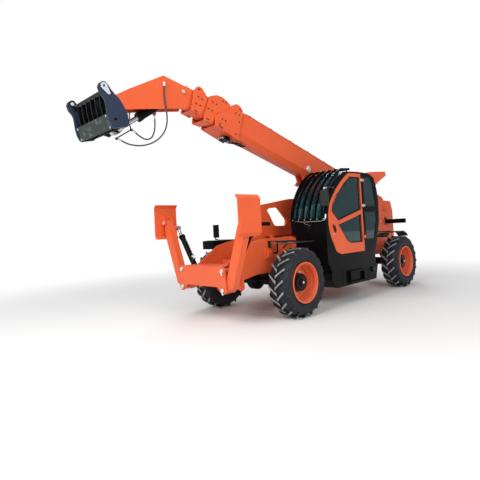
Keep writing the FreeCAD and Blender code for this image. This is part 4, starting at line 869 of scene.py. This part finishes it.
def seal(shape, outline, width, lip_y):
    """Adds a pane's band, from its outline inward, and the lip round it."""
    inner = drawn_in(outline, width)
    for k in range(len(outline)):
        after = (k + 1) % len(outline)
        corners = [outline[k], outline[after], inner[after], inner[k]]
        low, high = [[shape.verts.new(MACHINE @ Vector((x, y, z))) for x, z in corners]
                     for y in (BAND_Y, BAND_Y + BAND_THICK)]
        shape.faces.new(low[::-1])
        shape.faces.new(high)
        shape.faces.new((low[0], low[1], high[1], high[0]))
        shape.faces.new((low[2], low[3], high[3], high[2]))
    lip = drawn_in(outline, 0.004)
    bent_rod(shape, [(x, lip_y, z) for x, z in lip + lip[:2]], 0.0055, 0.004, 8)


epdm = rubber_of("black_epdm", "0B0C0D", "141516", 0.1)
UPPER = ([(-0.130, 1.738), (0.700, 1.540), (0.885, 1.715)] +
         arc_points((0.885, 1.715), (0.868, 1.795), (0.640, 2.060), 8)[1:] + [(0.215, 2.370), (-0.130, 2.370)])
LOWER = [(-0.122, 1.105), (0.300, 1.108), (0.430, 1.160), (0.545, 1.300), (0.690, 1.462), (-0.122, 1.645)]
SIDE_UPPER = [(-0.285, 1.790), (-0.285, 2.390), (-0.570, 2.390), (-0.690, 2.290), (-0.765, 1.900), (-0.765, 1.790)]
SIDE_LOWER = [(-0.275, 1.130), (-0.275, 1.700), (-0.780, 1.700), (-0.765, 1.500), (-0.640, 1.130)]
for name, body, outlines, width, lip_y in (("door_seals", "door", (UPPER, LOWER), 0.020, 1.0560),
                                           ("side_pane_seals", "chassis", (SIDE_UPPER, SIDE_LOWER), 0.018, 1.0500)):
    shape = bmesh.new()
    for outline in outlines:
        seal(shape, outline, width, lip_y)
    piece_of(name, shape, body, [epdm])


# Door fittings: zinc covers over the two upper hinges, a black pull in an oval dish and a lock barrel below it.
shape = bmesh.new()
for z in (2.279, 1.778):
    for x0, x1 in ((-0.197, -0.135), (-0.262, -0.209)):
        plate(shape, oblong(-x1, -x0, z + 0.014, z + 0.056), 0.006, facing((0, 1.0785, 0), LEFT))
    for x in (-0.150, -0.172):
        bolt(shape, facing((x, 1.0840, z + 0.035), LEFT), 0.009)
lathe(shape, [(0, 0), (0.013, 0), (0.013, 0.004), (0.010, 0.006), (0.004, 0.006), (0, 0.003)],
      facing((0.863, 1.0555, 1.299), LEFT), 28)
piece_of("door_hinge_covers", shape, "door", [zinc], edge=0.0015)
shape = bmesh.new()
dish = []
for k in range(28):
    angle = 2 * pi * k / 28
    u, v = 0.036 * cos(angle), 0.078 * sin(angle)
    dish.append((-(0.854 + u + 0.42 * v), 1.402 + v))
plate(shape, dish, 0.004, facing((0, 1.0695, 0), LEFT))
bent_rod(shape, [(0.838, 1.073, 1.352), (0.838, 1.094, 1.356), (0.870, 1.094, 1.446), (0.870, 1.073, 1.450)],
         0.009, 0.012)
piece_of("door_pull", shape, "door", [plastic], edge=0.002)


# Cab front: a stainless rail bent round under the windscreen, a wiper parked below it, a mirror on a clamped arm,
# and clamps that tie the black guard bars to their lower rail.
steel = sprayed_enamel("polished_stainless", "C9CCD0", "B4B8BD", 0.22, 0.0, metal=0.9)
shape = bmesh.new()
bent_rod(shape, [(1.088, 0.297, 1.601), (1.122, 0.297, 1.590), (1.122, 0.560, 1.548), (1.122, 1.000, 1.548),
                 (1.112, 1.058, 1.575), (1.090, 1.062, 1.664)], 0.012, 0.030, 14)
for y in (0.420, 0.700, 0.960):
    lathe(shape, [(0.007, 0), (0.007, 0.036)], facing((1.086, y, 1.552), AHEAD), 12)
piece_of("cab_front_rail", shape, "chassis", [steel])
shape = bmesh.new()
for k in range(6):
    lathe(shape, stud(0.009, 0.005, 0.006, 0.008), facing((1.1525, 0.370 + 0.136 * k, 1.587), AHEAD), 16)
piece_of("guard_bar_clamps", shape, "chassis", [zinc], edge=0.001)
shape = bmesh.new()
lathe(shape, stud(0.018, 0.012, 0.012, 0.015), facing((1.086, 0.600, 1.520), AHEAD), 24, 1)
bent_rod(shape, [(1.102, 0.600, 1.520), (1.104, 0.653, 1.475), (1.104, 0.690, 1.400), (1.104, 0.750, 1.431)],
         0.0035, 0.014, 10, 1)
for y, z in ((0.600, 1.520), (0.655, 1.500), (0.700, 1.478)):
    lathe(shape, [(0, 0), (0.010, 0), (0.008, 0.008), (0, 0.009)], facing((1.100, y, z), AHEAD), 16)
plate(shape, oblong(-0.130, 0.130, -0.005, 0.005), 0.010,
      facing((1.092, 0.730, 1.480), AHEAD) @ Matrix.Rotation(radians(52), 4, "Z"), 1)
piece_of("front_wiper", shape, "chassis", [steel, epdm], edge=0.001)

shape = bmesh.new()
head = facing((1.215, 1.150, 1.9425), AHEAD)
for outline, thick, height, slot in ((rounded(0.080, 0.142, 0.035), 0.018, 0, 0),
                                     (rounded(0.072, 0.132, 0.030), 0.006, 0.018, 0),
                                     (rounded(0.078, 0.140, 0.034), 0.010, -0.010, 0),
                                     (rounded(0.070, 0.130, 0.028), 0.0015, -0.0115, 1)):
    plate(shape, outline, thick, shifted(head, 0, 0, height), slot)
bent_rod(shape, [(0.790, 1.052, 2.140), (0.820, 1.075, 2.140), (1.215, 1.150, 2.140), (1.215, 1.150, 2.050)],
         0.010, 0.020, 14)
lathe(shape, [(0.026, 0), (0.026, 0.010), (0.018, 0.014), (0, 0.014)], facing((0.790, 1.050, 2.140), LEFT), 28)
for z in (2.070, 2.110):
    lathe(shape, [(0.010, -0.010), (0.020, -0.010), (0.020, 0.010), (0.010, 0.010)], above((1.215, 1.150, z)), 20, 2)
for x, z in ((1.160, 2.075), (1.170, 2.115)):
    plate(shape, oblong(-0.018, 0.018, -0.008, 0.008), 0.016, facing((x, 1.152, z), LEFT), 2)
lamp = above((-0.190, 0.630, 2.482))
plate(shape, rounded(0.060, 0.060, 0.015), 0.012, lamp)
piece_of("mirror_and_lamp_foot", shape, "chassis", [plastic, chrome, zinc], edge=0.002, replaced=["cab_fittings"])
opal, tree, at = fresh("opal_acrylic")
finish(tree, "BsdfPrincipled", {"Base Color": linear("F1EFEA"), "Roughness": 0.22, "Subsurface Weight": 0.1,
                                "Normal": relief(tree, bands(tree, at, "X", 30.0), 0.3)})
shape = bmesh.new()
plate(shape, rounded(0.052, 0.064, 0.014), 0.046, shifted(lamp, 0, 0, 0.012))
piece_of("roof_lamp", shape, "chassis", [opal], edge=0.006)
shape = bmesh.new()
for k in range(3):
    x = -0.330 - 0.130 * k
    plate(shape, rounded(0.018, 0.050, 0.006), 0.012, above((x, 0.630, 2.474 - 0.003 * k)))
    bent_rod(shape, [(x, 0.600, 2.478), (x, 0.600, 2.530), (x, 0.660, 2.530), (x, 0.660, 2.478)], 0.008, 0.014, 10)
piece_of("roof_brackets", shape, "chassis", [black], edge=0.001)


# Driver's seat: black woven cloth over foam, in a crowned cushion, a back with side bolsters and a head pad, on a
# moulded pan and shell between bent armrests.
cloth, tree, at = fresh("woven_seat_cloth")
weave = reckon(tree, "MULTIPLY", *[bands(tree, at, way, 160.0) for way in "XZ"])
finish(tree, "BsdfPrincipled", {"Base Color": tones(tree, noise(tree, at, 24.0, 5.0), "1B1C1F", "2E3035"),
                                "Roughness": 0.85, "Normal": relief(tree, weave, 0.4), "Sheen Weight": 0.3})


def cushion(name, size, crown, place, replaced=()):
    """A foam cushion: a closed form that swells in the middle and pulls in between its corners."""
    across, along, thick = size
    count = 14
    steps = range(count)
    shape = bmesh.new()
    grids = []
    for top in (True, False):
        grid = {}
        for i in range(count + 1):
            for j in range(count + 1):
                u, v = 2 * i / count - 1, 2 * j / count - 1
                swell = (1 - abs(u) ** 3) * (1 - abs(v) ** 3)
                channel = 0.006 if abs(abs(u) - 0.36) < 0.08 else 0
                if top:
                    height = thick * 0.30 + swell ** 0.6 * (thick * 0.2 + crown) - channel
                else:
                    height = -thick * 0.5 * (0.6 + 0.4 * swell ** 0.3)
                x = u * across / 2 * (1 - 0.035 * (1 - v * v) * abs(u) ** 6)
                y = v * along / 2 * (1 - 0.035 * (1 - u * u) * abs(v) ** 6)
                grid[i, j] = shape.verts.new(place @ Vector((x, y, height)))
        for i in steps:
            for j in steps:
                shape.faces.new((grid[i, j], grid[i + 1, j], grid[i + 1, j + 1], grid[i, j + 1]))
        grids.append(grid)
    rim = [(i, 0) for i in steps] + [(count, j) for j in steps]
    rim += [(count - i, count) for i in steps] + [(0, count - j) for j in steps]
    walls(shape, [[grid[spot] for spot in rim] for grid in grids])
    piece = piece_of(name, shape, "chassis", [cloth], replaced=replaced)
    piece.modifiers.new("foam_surface", "SUBSURF").render_levels = 1


cushion("seat_cushion", (0.500, 0.415, 0.115), 0.012, above((-0.054, 0.700, 1.125)), ["seat"])
cushion("seat_back", (0.395, 0.660, 0.080), 0.012, facing((-0.385, 0.700, 1.545), (1, 0, 0.09)))
cushion("head_pad", (0.235, 0.165, 0.072), 0.008, facing((-0.432, 0.700, 1.975), (1, 0, 0.1)))
shape = bmesh.new()
for y in (0.630, 0.770):
    bent_rod(shape, [(-0.425, y, 1.850), (-0.440, y, 1.935)], 0.007, 0.01, slot=1)
for y in (0.922, 0.478):
    bent_rod(shape, [(-0.400, y, 1.230), (-0.395, y, 1.330), (-0.080, y, 1.345)], 0.014, 0.03)
plate(shape, oblong(-0.200, 0.200, -0.225, 0.235), 0.012, above((-0.060, 0.700, 1.058)))
plate(shape, rounded(0.190, 0.350, 0.060), 0.012, facing((-0.440, 0.700, 1.540), (1, 0, 0.09)))
piece_of("seat_frame", shape, "chassis", [plastic, zinc], edge=0.002)


# Controls: a hub pad on the steering wheel, and a dashboard with a dark display, a row of rocker switches and round
# vents. Two pedals stand on the floor, and a knob tops the lever.
screen, tree, at = fresh("display_glass")
finish(tree, "BsdfPrincipled", {"Base Color": tones(tree, bands(tree, at, "Z", 90.0), "0A1013", "10191D"),
                                "Roughness": 0.08})
shape = bmesh.new()
lathe(shape, [(0, 0.010), (0.036, 0.010), (0.036, 0.016), (0.030, 0.021), (0, 0.023)],
      facing((0.638, 0.660, 1.562), (-1, 0, 1), up=LEFT), 32)
panel = facing((0.8095, 0.660, 1.4410), (-0.62, 0, 0.78))
for k in range(6):
    plate(shape, rounded(0.012, 0.017, 0.003), 0.006, shifted(panel, -0.190 + 0.030 * k, 0.012, 0))
plate(shape, rounded(0.070, 0.040, 0.008), 0.004, shifted(panel, 0.120, 0, 0), 1)
for y in (0.470, 0.850):
    lathe(shape, [(0, 0.002), (0.030, 0.002), (0.032, 0.006), (0.036, 0.006), (0.036, 0)],
          facing((0.8060, y, 1.2980), ASTERN), 32)
for y in (0.560, 0.740):
    plate(shape, rounded(0.045, 0.060, 0.010), 0.014, facing((0.730, y, 0.760), (-0.7, 0, 0.7)))
    bent_rod(shape, [(0.735, y, 0.755), (0.850, y, 0.800)], 0.010, 0.01, 10)
lathe(shape, [(0, 0.032), (0.022, 0.022), (0.028, 0), (0.020, -0.024), (0.014, -0.034), (0, -0.034)],
      facing((0.190, 0.445, 1.410), (0.05, 0, 1), up=AHEAD), 28)
piece_of("driver_controls", shape, "chassis", [plastic, screen], edge=0.001)


# Tank and steps: black sheet with pressed ribs, chequer bars on the treads, a grooved filler cap and a drain plug.
shape = bmesh.new()
for x in (-0.300, 0.620):
    plate(shape, oblong(-0.015, 0.015, 0.345, 0.612), 0.004, facing((x, 1.0405, 0), LEFT))
for z in (0.390, 0.590):
    for k in range(12):
        tread = above((-0.030 + 0.038 * k, 1.065, z))
        plate(shape, oblong(-0.016, 0.016, -0.003, 0.003), 0.003,
              tread @ Matrix.Rotation(radians(35 if k % 2 else -35), 4, "Z"))
cap = facing((-0.480, 1.040, 0.530), LEFT)
lathe(shape, [(0, 0), (0.040, 0), (0.040, 0.016), (0.052, 0.018), (0.052, 0.040), (0.046, 0.046), (0, 0.046)],
      cap, 36, 1)
for ring in turns(cap, 8):
    plate(shape, [(0.050, -0.006), (0.056, -0.004), (0.056, 0.004), (0.050, 0.006)], 0.018,
          shifted(ring, 0, 0, 0.020), 1)
bolt(shape, facing((0.700, 0.900, 0.330), DOWN, up=AHEAD), 0.016, 2)
for x, z in ((-0.640, 0.608), (0.900, 0.606)):
    for y in (0.440, 0.980):
        bolt(shape, facing((x, y, z), LEFT), 0.008, 2)
piece_of("tank_fittings", shape, "chassis", [black, plastic, zinc], edge=0.001)


# Engine side: louvres in the hood's outer face and the lower casing, plastic latches and a pull, bolts, and a slot
# in the tall guard beside the boom. The slots of the louvres and of the guard are dark plates of painted shade.
# A near-black for the shade inside openings: painted shade, used for louvres, the guard's slot and the roof grille.
dark = rubber_of("painted_opening_shadow", "050505", "0A0A0A", 0.1)
CASING_Y = -1.040


def louvres(shape, columns, low, pitch, count, half, foot, top, lip, radius):
    """Adds columns of louvres: slots of painted shade from foot to top, each under a pressed lip."""
    for x in columns:
        for z in [low + pitch * k for k in range(count)]:
            plate(shape, oblong(-half, half, foot, top), 0.0015, facing((x, CASING_Y, z), RIGHT), 1)
            bent_rod(shape, [(x + end, CASING_Y - 0.0005, z + lip) for end in (-half, half)], radius, 0.01, 8)


shape = bmesh.new()
louvres(shape, (-0.700, -0.350, 0, 0.350, 0.700), 1.200, 0.028, 6, 0.130, -0.009, 0.004, 0.006, 0.004)
for x in (-0.525, 0.525):
    plate(shape, rounded(0.016, 0.032, 0.008), 0.012, facing((x, CASING_Y, 1.185), RIGHT), 2)
bent_rod(shape, [(x, y, 1.176) for x, y in ((-0.060, CASING_Y), (-0.060, -1.062), (0.060, -1.062),
                                            (0.060, CASING_Y))], 0.006, 0.012, 10, 2)
piece_of("hood_louvres", shape, "hood", [orange, dark, plastic])
shape = bmesh.new()
louvres(shape, (-0.600, 0, 0.600), 0.650, 0.045, 9, 0.200, -0.012, 0.006, 0.009, 0.005)
for x in (-1.000, -0.320, 0.320, 1.000):
    for z in (0.600, 1.110):
        bolt(shape, facing((x, CASING_Y, z), RIGHT), 0.009, 2)
piece_of("casing_louvres", shape, "chassis", [orange, dark, zinc])
shape = bmesh.new()
# The guard's slot: a flat dark plate, painted shade in the opening.
plate(shape, [(-1.203, 1.522), (-0.904, 1.516), (-0.904, 1.590), (-1.203, 1.598)], 0.0015,
      facing((0, -0.4205, 0), LEFT))
for x in (-0.870, 0.030, 0.890):
    for z in (1.175, 1.245):
        bolt(shape, facing((x, -0.480, z), RIGHT), 0.010, 1)
piece_of("guard_slot_and_bolts", shape, "chassis", [dark, zinc])


# Tail: red and amber lamps on the black arms, the weight's bolts and a red reflector on each half of it. The road
# mirror's face and the battery box's lid straps are on the right.
lenses = []
for name, colour, shade in (("red_acrylic_lens", "B01712", "8E0F0C"), ("amber_acrylic_lens", "E88A12", "C9700A")):
    material, tree, at = fresh(name)
    ribs = bands(tree, at, "Z", 50.0)
    finish(tree, "BsdfPrincipled", {"Base Color": tones(tree, ribs, colour, shade), "Roughness": 0.15,
                                    "Normal": relief(tree, ribs, 0.4)})
    lenses.append(material)
shape = bmesh.new()
for side in (1, -1):
    back = facing((-2.530, 0.790 * side, 1.4645), ASTERN)
    plate(shape, rounded(0.064, 0.050, 0.012), 0.020, back)
    for x, slot in ((-0.031, 1), (0.031, 2)):
        plate(shape, rounded(0.028, 0.042, 0.010), 0.010, shifted(back, x, 0, 0.020), slot)
    for x in (-2.530, -2.480):
        for z in (1.405, 1.555):
            bolt(shape, outward((x, 0.376, z), side), 0.010, 3)
    for y in (0.430, 0.620):
        for z in (0.670, 0.890):
            bolt(shape, facing((-2.900, y * side, z), ASTERN), 0.022, 3)
    plate(shape, rounded(0.036, 0.018, 0.004), 0.004, facing((-2.900, 0.525 * side, 0.780), ASTERN), 1)
piece_of("rear_lamps", shape, "chassis", [plastic, *lenses, zinc], edge=0.001)
shape = bmesh.new()
plate(shape, rounded(0.066, 0.122, 0.020), 0.002, facing((1.715, -1.1575, 1.460), ASTERN))
piece_of("road_mirror_glass", shape, "chassis", [chrome])
shape = bmesh.new()
for x in (2.090, 2.370):
    bent_rod(shape, [(x, -0.682, 1.200), (x, -0.682, 1.302), (x, -0.362, 1.302)], 0.006, 0.010, 8, 1)
    plate(shape, rounded(0.016, 0.024, 0.004), 0.010, facing((x, -0.680, 1.230), RIGHT), 1)
piece_of("battery_straps", shape, "chassis", [black, zinc])


# Roof housing: an intake grille of five dark panels at its back, painted shade in its openings, and bolts along its
# foot.
shape = bmesh.new()
for k in range(5):
    plate(shape, rounded(0.026, 0.024, 0.006), 0.0015, facing((-1.3892, 0.480 + 0.085 * k, 2.515), (-1, 0, -0.24)))
for x, z in ((-0.780, 2.300), (-0.960, 2.300), (-1.180, 2.440), (-1.340, 2.500)):
    bolt(shape, facing((x, 0.990, z), LEFT), 0.008, 1)
piece_of("roof_housing_grille", shape, "chassis", [dark, zinc])


bpy.context.scene.view_settings.view_transform = "Standard"
